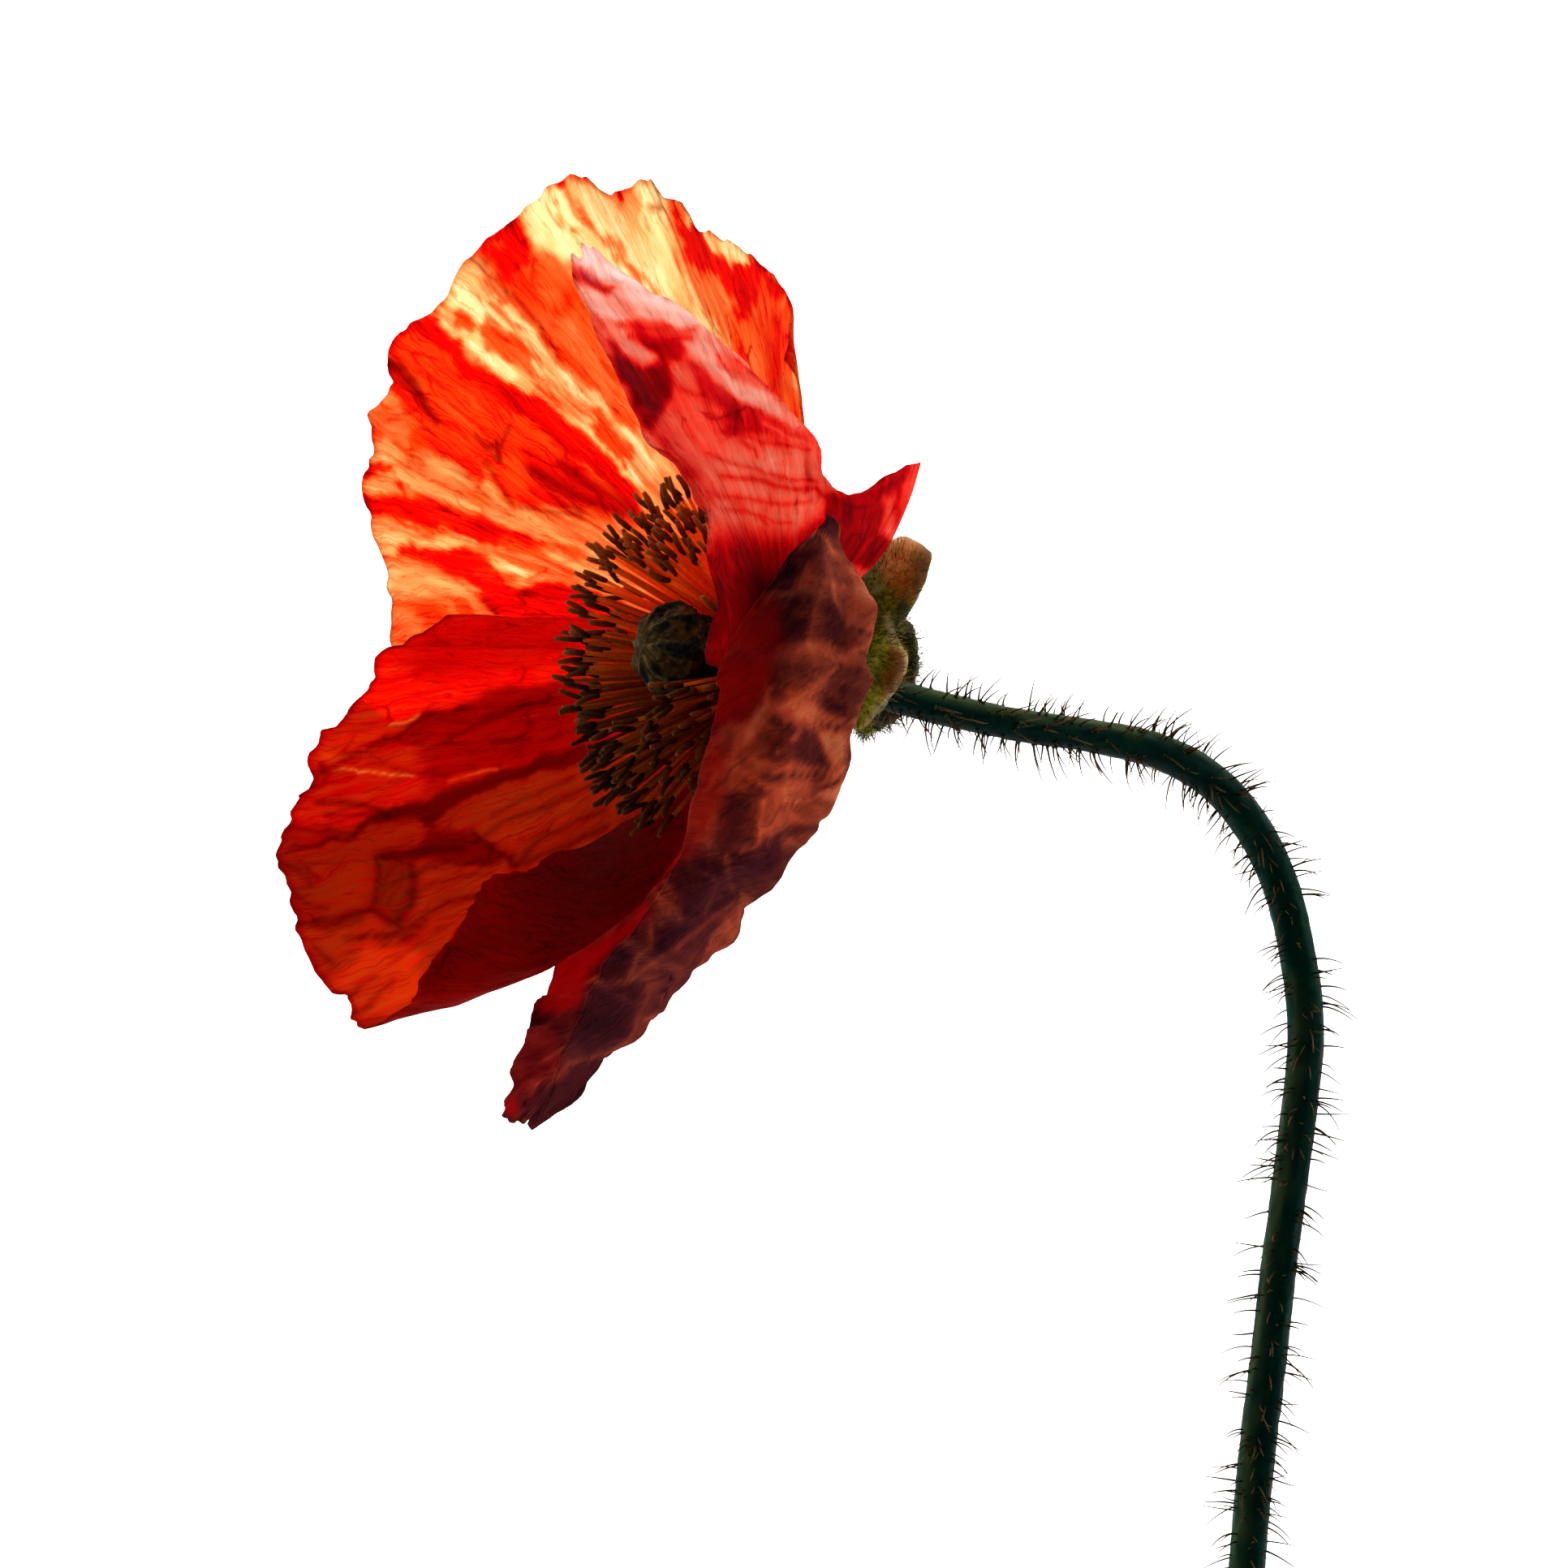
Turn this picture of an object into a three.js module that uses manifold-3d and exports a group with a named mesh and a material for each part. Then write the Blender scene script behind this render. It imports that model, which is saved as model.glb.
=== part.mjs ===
// A cut Iceland poppy lying on a flat surface: a bent stem with its receptacle, four crinkled petals in
// two whorls, the two halves of the bud husk bent back behind them, a boss of stamens and the pistil.
// Millimetres, +Z up. The origin is on the surface, under the middle of the flower's bounding box.
import * as THREE from "three";
import * as BufferGeometryUtils from "three/addons/utils/BufferGeometryUtils.js";
import Module from "manifold-3d";

const wasm = await Module();
wasm.setup();

// ---- driving dimensions ----
const receptacleHeight = 25; // of the receptacle's centre above the surface
const receptaclePlace = [-2.12, 28.08]; // x and y of that centre
const axisTurn = 171; // way the flower faces, degrees round from +X
const axisRise = 25; // how far it looks up from level, degrees
const petalThickness = 0.7;
const sepalThickness = 0.9;
// rings on which the petals and sepals stand, and how far up the flower's axis they are
const innerWhorl = { radius: 2.5, depth: 1.6 };
const outerWhorl = { radius: 3.4, depth: 0.1 };
const sepalRing = { radius: 3.5, depth: -2.2 };
const stemRadius = 1.6;
const neckRadius = 1.43; // of the stem near the bloom
const neckReach = [25, 45]; // distance along the stem over which it thickens
const receptacleRadius = 3.4;
const receptacleTop = -0.75; // along the axis
const stamenCount = 66;
const stamenReach = 16.8; // receptacle's centre to an anther's foot
const filamentRadius = 0.27;
const antherLength = 2.8;
const antherRadius = 0.5;
const pistilFoot = 0.6; // along the axis
const pistilLength = 13;
const pistilProfile = [
  // radius, share of the length from the foot
  [0.8, 0], [0.85, 0.1], [1.15, 0.2], [2.3, 0.36], [3.1, 0.5], [3.2, 0.6],
  [3.75, 0.66], [3.9, 0.74], [3.55, 0.84], [2.5, 0.94], [1.0, 1],
];
const stigmaRays = 8;
const ribShare = 0.03; // height of the ovary's ribs, as a share of its radius
const scallopShare = 0.06; // the same, of the cap's edge
const rayHeight = 0.4; // of the rays on the cap
const capStart = [0.62, 0.7]; // share of the length over which ribs become rays

// ---- how the stamens lean ----
const radians = THREE.MathUtils.degToRad;
const goldenAngle = Math.PI * (3 - Math.sqrt(5));
const leastLean = radians(27); // from the axis
const mostLean = radians(62);
const bowAngle = radians(4); // outward bow of the filaments
const nearUpperAngle = radians(-65); // way the near upper petal folds in over them
const nearUpperSpare = radians(18); // lean that they lose there
const nearUpperShortening = 0.28; // share of their length that they lose there
const angleScatter = 0.1; // of a stamen round the ring, in radians
const reachScatter = 2;
const swingScatter = 0.6; // of an anther's heading, to the side
const innermostRoot = { radius: 1.6, depth: 2.6 };
const outermostRoot = { radius: 2.2, depth: 2.4 };
const collarProfile = [
  // radius, depth: a cup-shaped collar that the filaments stand in
  [1.2, 0.5], [1.7, 0.5], [1.75, 1.9], [2.45, 2.6], [2.1, 3.0], [1.6, 3.0], [1.35, 1.8], [1.2, 0.5],
];
const antherShape = [
  // share of its length, share of its radius
  [0.08, 0.72], [0.5, 1], [0.93, 0.6],
];

// ---- faces on the round pieces ----
const stemSteps = 60;
const stemSides = 10;
const stamenSides = 4;
const collarSides = 18;
const pistilRings = 16;
const pistilSides = 32;

// ---- frame of the bloom ----
// axis points out of the flower's face, up is across it in the level plane, far points at the surface
const turn = radians(axisTurn);
const rise = radians(axisRise);
const axis = new THREE.Vector3(
  Math.cos(turn) * Math.cos(rise),
  Math.sin(turn) * Math.cos(rise),
  Math.sin(rise),
);
const up = new THREE.Vector3(Math.sin(turn), -Math.cos(turn), 0);
const far = new THREE.Vector3().crossVectors(axis, up);
const surfaceLevel = -receptacleHeight; // in the bloom's own frame, whose origin is the receptacle's centre

const colours = {
  stem: 0x1f3a1c,
  petalFar: 0xf0501c,
  petalNear: 0xc8505a,
  sepal: 0x66701f,
  stamen: 0xb5601a,
  pistil: 0x55602a,
};

function material(colour, roughness) {
  return new THREE.MeshStandardMaterial({ color: colour, roughness, metalness: 0 });
}

// a point on a ring round the bloom's axis: angle 0 is up, 90 is far
function onRing(ring, degrees) {
  const angle = radians(degrees);
  return new THREE.Vector3()
    .addScaledVector(up, ring.radius * Math.cos(angle))
    .addScaledVector(far, ring.radius * Math.sin(angle))
    .addScaledVector(axis, ring.depth);
}

// repeatable random numbers
function seeded(seed) {
  let state = seed;
  return () => {
    state = (state * 1664525 + 1013904223) % 4294967296;
    return state / 4294967296;
  };
}

const smooth = (low, high, value) => THREE.MathUtils.smoothstep(value, low, high);
const bump = (centre, width, value) => Math.exp(-(((value - centre) / width) ** 2));
const smoothCurve = (points) => new THREE.CatmullRomCurve3(points, false, "catmullrom", 0.5);

// ---- sheets: petals and sepals ----
// A sheet runs from a claw on a ring (t = 0), through middle points (t = 0.5), to its rim (t = 1).
// The middle points answer evenly spaced rim points, s = 0 to 1 across.
function sheetSurface(shape) {
  const rim = smoothCurve(shape.rim.map((p) => new THREE.Vector3(...p)));
  const middle = smoothCurve(shape.middle.map((p) => new THREE.Vector3(...p)));
  const plain = (s, t) => {
    const claw = onRing(shape.ring, THREE.MathUtils.lerp(shape.from, shape.to, s));
    return new THREE.Vector3()
      .addScaledVector(claw, (1 - t) * (1 - 2 * t))
      .addScaledVector(middle.getPoint(s), 4 * t * (1 - t))
      .addScaledVector(rim.getPoint(s), t * (2 * t - 1));
  };
  const relieved = (s, t) => {
    const point = plain(s, t);
    return point.addScaledVector(normalOf(plain, s, t), shape.relief(s, t));
  };
  if (!shape.rests) {
    return relieved;
  }
  return (s, t) => {
    const point = relieved(s, t);
    point.z = Math.max(point.z, surfaceLevel + shape.thickness / 2);
    return point;
  };
}

function normalOf(surface, s, t) {
  const step = 0.004;
  const across = surface(Math.min(s + step, 1), t).sub(surface(Math.max(s - step, 0), t));
  const along = surface(s, Math.min(t + step, 1)).sub(surface(s, Math.max(t - step, 0)));
  return across.cross(along).normalize();
}

// one closed blade: two faces split into triangles alike, joined round the edge
function sheetGeometry(shape) {
  const surface = sheetSurface(shape);
  const { columns, rows, thickness } = shape;
  const positions = [];
  const index = [];
  const layer = (columns + 1) * (rows + 1);
  for (const side of [1, -1]) {
    for (let row = 0; row <= rows; row++) {
      for (let column = 0; column <= columns; column++) {
        const s = column / columns;
        const t = row / rows;
        const point = surface(s, t);
        point.addScaledVector(normalOf(surface, s, t), (side * thickness) / 2);
        point.z = Math.max(point.z, surfaceLevel);
        positions.push(point.x, point.y, point.z);
      }
    }
  }
  const at = (column, row) => row * (columns + 1) + column;
  for (let row = 0; row < rows; row++) {
    for (let column = 0; column < columns; column++) {
      const a = at(column, row);
      const b = at(column + 1, row);
      const c = at(column + 1, row + 1);
      const d = at(column, row + 1);
      index.push(a, b, c, a, c, d);
      index.push(layer + a, layer + c, layer + b, layer + a, layer + d, layer + c);
    }
  }
  const edge = [];
  for (let column = 0; column < columns; column++) edge.push(at(column, 0));
  for (let row = 0; row < rows; row++) edge.push(at(columns, row));
  for (let column = columns; column > 0; column--) edge.push(at(column, rows));
  for (let row = rows; row > 0; row--) edge.push(at(0, row));
  edge.forEach((a, i) => {
    const b = edge[(i + 1) % edge.length];
    index.push(a, layer + a, layer + b, a, layer + b, b);
  });
  const geometry = new THREE.BufferGeometry();
  geometry.setAttribute("position", new THREE.Float32BufferAttribute(positions, 3));
  geometry.setIndex(index);
  geometry.computeVertexNormals();
  return geometry;
}

const petalFarUpper = {
  ring: outerWhorl, from: -8, to: 92,
  thickness: petalThickness, columns: 26, rows: 12, rests: true,
  rim: [
    [0.6, 26, 2], [0.9, 31, 0.5], [-0.8, 33.9, -1], [-3.2, 35.3, -3], [-4.9, 38, -5], [-7, 40.3, -7],
    [-10.2, 40.8, -9], [-12.6, 42.3, -11], [-14.5, 41.2, -12], [-16.5, 42.4, -13],
    [-19.5, 41.9, -14.5], [-22.5, 39.3, -16], [-25.2, 37.4, -17], [-27.3, 34, -18], [-30, 30.9, -19],
    [-32.8, 29.9, -19], [-34.4, 27.4, -19.5], [-34.3, 24.2, -20], [-36, 20.8, -20],
    [-36.1, 17.3, -20.5], [-34.7, 13.4, -20.5], [-34, 9.5, -21], [-34.1, 5.4, -22], [-33.7, 1.5, -23],
    [-30.5, -2, -23.5],
  ],
  middle: [
    [2.3, 15.5, 2], [0, 18.5, -6], [-5, 20, -12], [-11, 19, -16.5], [-16, 14, -20.5],
    [-17.5, 7.5, -22.7], [-15.5, 1.5, -22.5],
  ],
  relief(s, t) {
    const crease = 1.1 * (bump(0.58, 0.03, s) - bump(0.66, 0.035, s)) * smooth(0.2, 0.6, t);
    const pleats = 0.55 * Math.sin(2 * Math.PI * (7 * s + 0.4 * t)) * smooth(0.15, 1, t);
    const wave = 0.6 * Math.sin(2 * Math.PI * 3.5 * s + 1) * smooth(0.55, 1, t);
    return crease + pleats + wave;
  },
};

const petalFarLower = {
  ring: innerWhorl, from: 84, to: 180,
  thickness: petalThickness, columns: 28, rows: 12, rests: true,
  rim: [
    [-28.5, 4, -17.5], [-32.5, 2.5, -18], [-34.6, 1, -18.5], [-36, -1.3, -19.5], [-36.9, -3.4, -20],
    [-39.6, -5, -21], [-41, -8.6, -21], [-40.9, -11.4, -21], [-42, -14.2, -21], [-44, -16.5, -20.5],
    [-42.6, -19.5, -20], [-41.4, -23, -20], [-39.4, -27, -19.5], [-37, -29.5, -18.5],
    [-36, -31, -17.5], [-34, -31, -16], [-32, -29.5, -14.5], [-30.5, -27, -13.5], [-28.5, -24, -13],
    [-26.5, -21, -12.5], [-25, -18.5, -12], [-22, -17.5, -11.5], [-19, -16.5, -11],
    [-16.5, -15.5, -10], [-14, -14, -8.5],
  ],
  middle: [
    [-15, 4, -17], [-17.5, -2, -20.5], [-20, -8, -22.7], [-19, -16.5, -20.5], [-15, -22.5, -12.5],
    [-12, -19.5, -7.5], [-8, -10, -2.5],
  ],
  relief(s, t) {
    const fold = 1.3 * bump(0.33, 0.035, s) * smooth(0.25, 0.7, t);
    const pleats = 0.5 * Math.sin(2 * Math.PI * (6 * s - 0.5 * t)) * smooth(0.2, 1, t);
    const crumple = 0.7 * Math.sin(11 * s + 9 * t) * Math.sin(7 * t + 1) * smooth(0.4, 0.9, t);
    const open = 1 - smooth(0.55, 0.62, s);
    return (fold + pleats + crumple) * open;
  },
};

const petalNearUpper = {
  ring: innerWhorl, from: 340, to: 262,
  thickness: petalThickness, columns: 24, rows: 10, rests: false,
  rim: [
    [12.4, 17.7, 5.5], [9.5, 16.2, 7], [6.5, 14.5, 8.5], [4.5, 16, 9.5], [3, 19.5, 10.5],
    [-0.5, 23.5, 12], [-5, 28, 13.5], [-10, 31.5, 16], [-16.5, 35.5, 18], [-15.5, 28.5, 19.5],
    [-11, 20.5, 21], [-6.3, 14, 20.5], [-5.8, 0, 18],
  ],
  middle: [
    [8.3, 8.5, 4], [5.8, 10, 7], [3, 11, 9], [0, 13, 11], [-4, 14, 14], [-3.5, 10, 15.5],
    [-2, -1, 11.5],
  ],
  relief(s, t) {
    return 0.4 * Math.sin(2 * Math.PI * (5 * s + t)) * smooth(0.3, 1, t) * smooth(0.2, 0.35, s);
  },
};

const petalNearLower = {
  ring: outerWhorl, from: 172, to: 276,
  thickness: petalThickness, columns: 26, rows: 13, rests: false,
  rim: [
    [-12.5, -17, -21], [-16, -21.5, -21], [-18.7, -25.6, -19], [-20, -29.5, -15], [-21.5, -32.1, -11],
    [-22.7, -35.6, -6], [-23.5, -38.5, -3], [-22.5, -39, 0], [-21.2, -39.6, 3], [-19.4, -36.4, 9],
    [-16.3, -29.2, 14], [-13.5, -23.5, 17], [-9, -18.5, 20], [-7, -12.5, 22], [-5, -6, 23],
    [-4.5, 0.5, 22.5], [0, 7.5, 20.5],
  ],
  middle: [
    [-7.5, -13, -17], [-7.5, -17, -17.5], [-6.5, -20, -13], [-4, -21.9, -6], [-2.7, -19.8, 1],
    [0.6, -15.7, 8], [4.4, -11.4, 13], [7.2, 1, 16], [5.5, 12.5, 14.5],
  ],
  relief(s, t) {
    const net = Math.sin(13 * s + 6 * t) * Math.sin(11 * t - 5 * s + 1);
    const smoothed = 1 - 1.3 * smooth(0.6, 0.8, t) * bump(0.5, 0.12, s);
    return 0.9 * net * smooth(0.15, 0.5, t) * smooth(0, 0.1, s) * smoothed;
  },
};

const sepalUpper = {
  ring: sepalRing, from: 205, to: 372,
  thickness: sepalThickness, columns: 12, rows: 7, rests: false,
  rim: [
    [7, -5.5, -2], [8, -5, 0], [10.5, -2, 1.5], [11.5, 0.5, 2], [10.5, 3, 2.5],
    [12, 5.5, 2.5], [13.5, 9.5, 2], [11.5, 11, 0], [9.5, 10.5, -1.5],
  ],
  middle: [[4, -3.5, -1], [6.5, -2, 2.5], [7, 1.5, 4], [7.5, 5, 3.5], [5.5, 6, -0.5]],
  relief: () => 0,
};

const sepalLower = {
  ring: sepalRing, from: 40, to: 185,
  thickness: sepalThickness, columns: 10, rows: 7, rests: false,
  rim: [
    [10.5, 4, -10], [12, 3.5, -11], [12.5, 0.5, -12], [12, -2, -12.5], [11, -4, -12.5],
    [9, -5.5, -11], [8, -6, -8],
  ],
  middle: [[6.5, 3, -8], [8, -0.5, -11], [7.5, -3.5, -11], [5.5, -4.5, -6]],
  relief: () => 0,
};

// ---- round pieces ----
// a closed body through rings of points, each end closing on a point of its own
function ringsGeometry(start, rings, end) {
  const sides = rings[0].length;
  const points = [start, ...rings.flat(), end];
  const last = points.length - 1;
  const at = (ring, side) => 1 + ring * sides + (side % sides);
  const index = [];
  for (let side = 0; side < sides; side++) {
    index.push(0, at(0, side + 1), at(0, side));
    index.push(last, at(rings.length - 1, side), at(rings.length - 1, side + 1));
    for (let ring = 0; ring < rings.length - 1; ring++) {
      index.push(at(ring, side), at(ring, side + 1), at(ring + 1, side + 1));
      index.push(at(ring, side), at(ring + 1, side + 1), at(ring + 1, side));
    }
  }
  const geometry = new THREE.BufferGeometry().setFromPoints(points);
  geometry.setIndex(index);
  geometry.computeVertexNormals();
  return geometry;
}

// a ring of points round a centre, turning from one direction to another
function ringOf(centre, first, second, radius, sides) {
  return Array.from({ length: sides }, (_, side) => {
    const angle = (2 * Math.PI * side) / sides;
    return centre
      .clone()
      .addScaledVector(first, radius * Math.cos(angle))
      .addScaledVector(second, radius * Math.sin(angle));
  });
}

// ---- the stem ----
// it leaves the husk, bends over and lies on the surface to its slanting cut end
const lying = surfaceLevel + stemRadius;
const stemStart = -5; // along the axis, where it clears the receptacle
const stemRoute = [
  [11, -2.8, -5.3], [20.5, -5, -10], [28, -6.1, -14], [34, -7.6, -17.2], [38.6, -10.3, -20],
  [42, -14.4, -21.8], [44.4, -19.5, -22.9], [45.9, -26, lying], [46.5, -32, lying], [46, -38, lying],
  [45.1, -45, lying], [44.2, -52, lying], [43.3, -60, lying], [42.2, -69, lying], [41.4, -78, lying],
  [40.6, -88, lying], [40, -98, lying],
];
const receptacleReach = [0.3, 4.2]; // distance along the stem over which it narrows
const cutSlant = 0.6; // y lost per x across the cut end

function stemGeometry() {
  const top = axis.clone().multiplyScalar(receptacleTop);
  const behind = axis.clone().multiplyScalar(stemStart);
  const points = [top, behind, ...stemRoute.map((p) => new THREE.Vector3(...p))];
  const curve = smoothCurve(points);
  const length = curve.getLength();
  const frames = curve.computeFrenetFrames(stemSteps, false);
  const rings = frames.normals.map((normal, step) => {
    const along = step / stemSteps;
    const narrowed = Math.sqrt(smooth(receptacleReach[0], receptacleReach[1], along * length));
    const thickened = smooth(neckReach[0], neckReach[1], along * length);
    const girth = THREE.MathUtils.lerp(neckRadius, stemRadius, thickened);
    const radius = THREE.MathUtils.lerp(receptacleRadius, girth, narrowed);
    return ringOf(curve.getPointAt(along), normal, frames.binormals[step], radius, stemSides);
  });
  const end = curve.getPointAt(1);
  for (const point of rings[stemSteps]) {
    point.y += cutSlant * (point.x - end.x);
  }
  for (const point of rings.flat()) {
    point.z = Math.max(point.z, surfaceLevel);
  }
  return ringsGeometry(curve.getPointAt(0), rings, end);
}

const group = new THREE.Group();
const bloom = new THREE.Group();
bloom.position.set(receptaclePlace[0], receptaclePlace[1], receptacleHeight);
group.add(bloom);

function addMesh(parent, name, geometry, meshMaterial) {
  const mesh = new THREE.Mesh(geometry, meshMaterial);
  mesh.name = name;
  parent.add(mesh);
  return mesh;
}

addMesh(bloom, "stem", stemGeometry(), material(colours.stem, 0.6));
addMesh(bloom, "petal_far_upper", sheetGeometry(petalFarUpper), material(colours.petalFar, 0.7));
addMesh(bloom, "petal_far_lower", sheetGeometry(petalFarLower), material(colours.petalFar, 0.7));
addMesh(bloom, "petal_near_upper", sheetGeometry(petalNearUpper), material(colours.petalNear, 0.7));
addMesh(bloom, "petal_near_lower", sheetGeometry(petalNearLower), material(colours.petalNear, 0.7));
addMesh(bloom, "sepal_upper", sheetGeometry(sepalUpper), material(colours.sepal, 0.85));
addMesh(bloom, "sepal_lower", sheetGeometry(sepalLower), material(colours.sepal, 0.85));

// ---- the middle of the bloom, built along +Z and turned to its axis ----
const heart = new THREE.Group();
heart.quaternion.setFromRotationMatrix(new THREE.Matrix4().makeBasis(up, far, axis));
bloom.add(heart);

function solidOf(geometry) {
  const plain = geometry.clone();
  plain.deleteAttribute("normal");
  plain.deleteAttribute("uv");
  const merged = BufferGeometryUtils.mergeVertices(plain, 1e-5);
  return new wasm.Manifold(
    new wasm.Mesh({
      numProp: 3,
      vertProperties: new Float32Array(merged.attributes.position.array),
      triVerts: new Uint32Array(merged.index.array),
    }),
  );
}

function geometryOf(solid) {
  const mesh = solid.getMesh();
  const geometry = new THREE.BufferGeometry();
  geometry.setAttribute("position", new THREE.Float32BufferAttribute(mesh.vertProperties, 3));
  geometry.setIndex(Array.from(mesh.triVerts));
  geometry.computeVertexNormals();
  return geometry;
}

// one stamen: a thin filament bowing out from the ring, and a long anther on its tip
function stamenSolid(angle, lean, reach, swing) {
  const outward = new THREE.Vector3(Math.cos(angle), Math.sin(angle), 0);
  const forward = new THREE.Vector3(0, 0, 1);
  const sideways = new THREE.Vector3(-Math.sin(angle), Math.cos(angle), 0);
  const at = (radius, depth) => outward.clone().multiplyScalar(radius).addScaledVector(forward, depth);
  const share = (lean - leastLean) / (mostLean - leastLean);
  const root = at(
    THREE.MathUtils.lerp(innermostRoot.radius, outermostRoot.radius, share),
    THREE.MathUtils.lerp(innermostRoot.depth, outermostRoot.depth, share),
  );
  const bend = at((reach / 2) * Math.sin(lean + bowAngle), (reach / 2) * Math.cos(lean + bowAngle));
  const tip = at(reach * Math.sin(lean), reach * Math.cos(lean));
  const filament = new THREE.QuadraticBezierCurve3(root, bend, tip);
  const heading = filament.getTangent(1).addScaledVector(sideways, swing).normalize();
  const across = new THREE.Vector3().crossVectors(heading, sideways).normalize();
  const ring = (centre, radius) => ringOf(centre, sideways, across, radius, stamenSides);
  const alongAnther = (part) => tip.clone().addScaledVector(heading, part * antherLength);
  const rings = [
    ring(root, filamentRadius),
    ring(filament.getPoint(0.5), filamentRadius),
    ring(tip, filamentRadius),
    ...antherShape.map(([part, width]) => ring(alongAnther(part), width * antherRadius)),
  ];
  return solidOf(ringsGeometry(root, rings, alongAnther(1)));
}

function stamensGeometry() {
  const collar = new THREE.LatheGeometry(
    collarProfile.map(([radius, depth]) => new THREE.Vector2(radius, depth)),
    collarSides,
  );
  collar.rotateX(Math.PI / 2);
  let solid = solidOf(collar);
  const random = seeded(7);
  for (let i = 0; i < stamenCount; i++) {
    const angle = i * goldenAngle + angleScatter * (random() - 0.5);
    const nearness = Math.max(0, Math.cos(angle - nearUpperAngle));
    const furthest = mostLean - nearUpperSpare * nearness;
    const lean = THREE.MathUtils.lerp(leastLean, furthest, (i + 0.5) / stamenCount);
    const reach = stamenReach * (1 - nearUpperShortening * nearness) + reachScatter * (random() - 0.5);
    solid = solid.add(stamenSolid(angle, lean, reach, swingScatter * (random() - 0.5)));
  }
  return geometryOf(solid);
}

// the ovary, ribbed below its cap, and the cap with its raised rays and scalloped edge
function pistilGeometry() {
  const profile = smoothCurve(pistilProfile.map(([radius, share]) => new THREE.Vector3(radius, share, 0)));
  const rings = [];
  for (let ring = 0; ring <= pistilRings; ring++) {
    const { x: radius, y: share } = profile.getPoint(ring / pistilRings);
    const onCap = smooth(capStart[0], capStart[1], share);
    const points = [];
    for (let side = 0; side < pistilSides; side++) {
      const angle = (2 * Math.PI * side) / pistilSides;
      const rays = Math.cos(stigmaRays * angle);
      const swollen = radius * (1 + rays * THREE.MathUtils.lerp(ribShare, scallopShare, onCap));
      const crown = rayHeight * onCap * rays * smooth(1.0, 2.5, radius);
      const depth = THREE.MathUtils.lerp(pistilFoot, pistilLength, share) + crown;
      points.push(new THREE.Vector3(swollen * Math.cos(angle), swollen * Math.sin(angle), depth));
    }
    rings.push(points);
  }
  return ringsGeometry(new THREE.Vector3(0, 0, pistilFoot), rings, new THREE.Vector3(0, 0, pistilLength));
}

addMesh(heart, "stamens", stamensGeometry(), material(colours.stamen, 0.7));
addMesh(heart, "pistil", pistilGeometry(), material(colours.pistil, 0.9));

export default group;
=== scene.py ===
"""A cut Iceland poppy lying on a light table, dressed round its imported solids.

Shapes are worked out in millimetres in the bloom's own frame, whose origin is the receptacle's
centre, and become metres in the part's frame where a mesh is made. A sheet (a petal or a husk
half) is a grid over s, across it from edge to edge, and t, out from its claw to its rim.

A mesh carries its marks as "paint": for a petal the tone, which picks a colour from the petal's
ramps, the share of light that gets through, and a share of wash laid over the colour.
"""
import math

import bpy
import numpy as np
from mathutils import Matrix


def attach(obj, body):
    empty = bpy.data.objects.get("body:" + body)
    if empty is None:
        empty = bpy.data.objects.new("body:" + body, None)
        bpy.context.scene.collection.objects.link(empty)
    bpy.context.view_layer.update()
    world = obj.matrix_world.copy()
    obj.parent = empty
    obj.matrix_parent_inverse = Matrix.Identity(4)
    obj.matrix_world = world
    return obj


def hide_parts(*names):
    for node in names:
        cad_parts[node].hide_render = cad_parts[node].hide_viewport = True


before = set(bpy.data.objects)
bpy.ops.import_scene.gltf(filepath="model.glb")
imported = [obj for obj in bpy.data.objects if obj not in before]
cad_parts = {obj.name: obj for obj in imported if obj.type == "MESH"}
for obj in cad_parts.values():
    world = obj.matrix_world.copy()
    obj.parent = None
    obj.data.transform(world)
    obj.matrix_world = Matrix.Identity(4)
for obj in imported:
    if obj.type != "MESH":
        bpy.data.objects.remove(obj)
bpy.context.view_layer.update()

# ---- frame of the bloom, as in the solids ----
MM = 0.001
RECEPTACLE = np.array([-2.12, 28.08, 25.0])  # mm, in the part's frame
SURFACE = -RECEPTACLE[2]
TURN = math.radians(171)
RISE = math.radians(25)
AXIS = np.array([math.cos(TURN) * math.cos(RISE), math.sin(TURN) * math.cos(RISE), math.sin(RISE)])
UP = np.array([math.sin(TURN), -math.cos(TURN), 0.0])
FAR = np.cross(AXIS, UP)
INNER = (2.5, 1.6)  # radius and depth of the ring that a whorl stands on
OUTER = (3.4, 0.1)
HUSK_RING = (3.5, -2.2)
PETAL = 0.2  # thickness, mm
HUSK = 0.6
VIEW_HEIGHT = 1475  # mm above the receptacle from which the marks' places are read


# ---- numbers ----
def smooth(low, high, value):
    """0 below low, 1 above high, an easy curve between."""
    x = np.clip((value - low) / (high - low), 0, 1)
    return x * x * (3 - 2 * x)


def bump(centre, width, value):
    return np.exp(-(((value - centre) / width) ** 2))


def unit(vectors):
    return vectors / np.maximum(np.linalg.norm(vectors, axis=-1, keepdims=True), 1e-9)


def mix(a, b, share):
    return a + (b - a) * share


def corners_of(x, y, seed):
    """Random heights at the four knots round each point, and where the point lies among them."""
    knots = np.random.default_rng(seed).uniform(-1, 1, (128, 128))
    column, row = np.floor(x).astype(int), np.floor(y).astype(int)
    at = lambda i, j: knots[(row + j) % 128, (column + i) % 128]
    return at(0, 0), at(1, 0), at(0, 1), at(1, 1), x - column, y - row


def noise(x, y, seed):
    """Smooth random heights from -1 to 1 with a knot at each whole step."""
    a, b, c, d, u, v = corners_of(x, y, seed)
    u, v = u * u * (3 - 2 * u), v * v * (3 - 2 * v)
    return mix(mix(a, b, u), mix(c, d, u), v)


def waves(s, t, *parts):
    """Noises added up, each (height, knots over s, knots over t, seed)."""
    return sum(height * noise(s * over_s, t * over_t, seed) for height, over_s, over_t, seed in parts)


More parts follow.
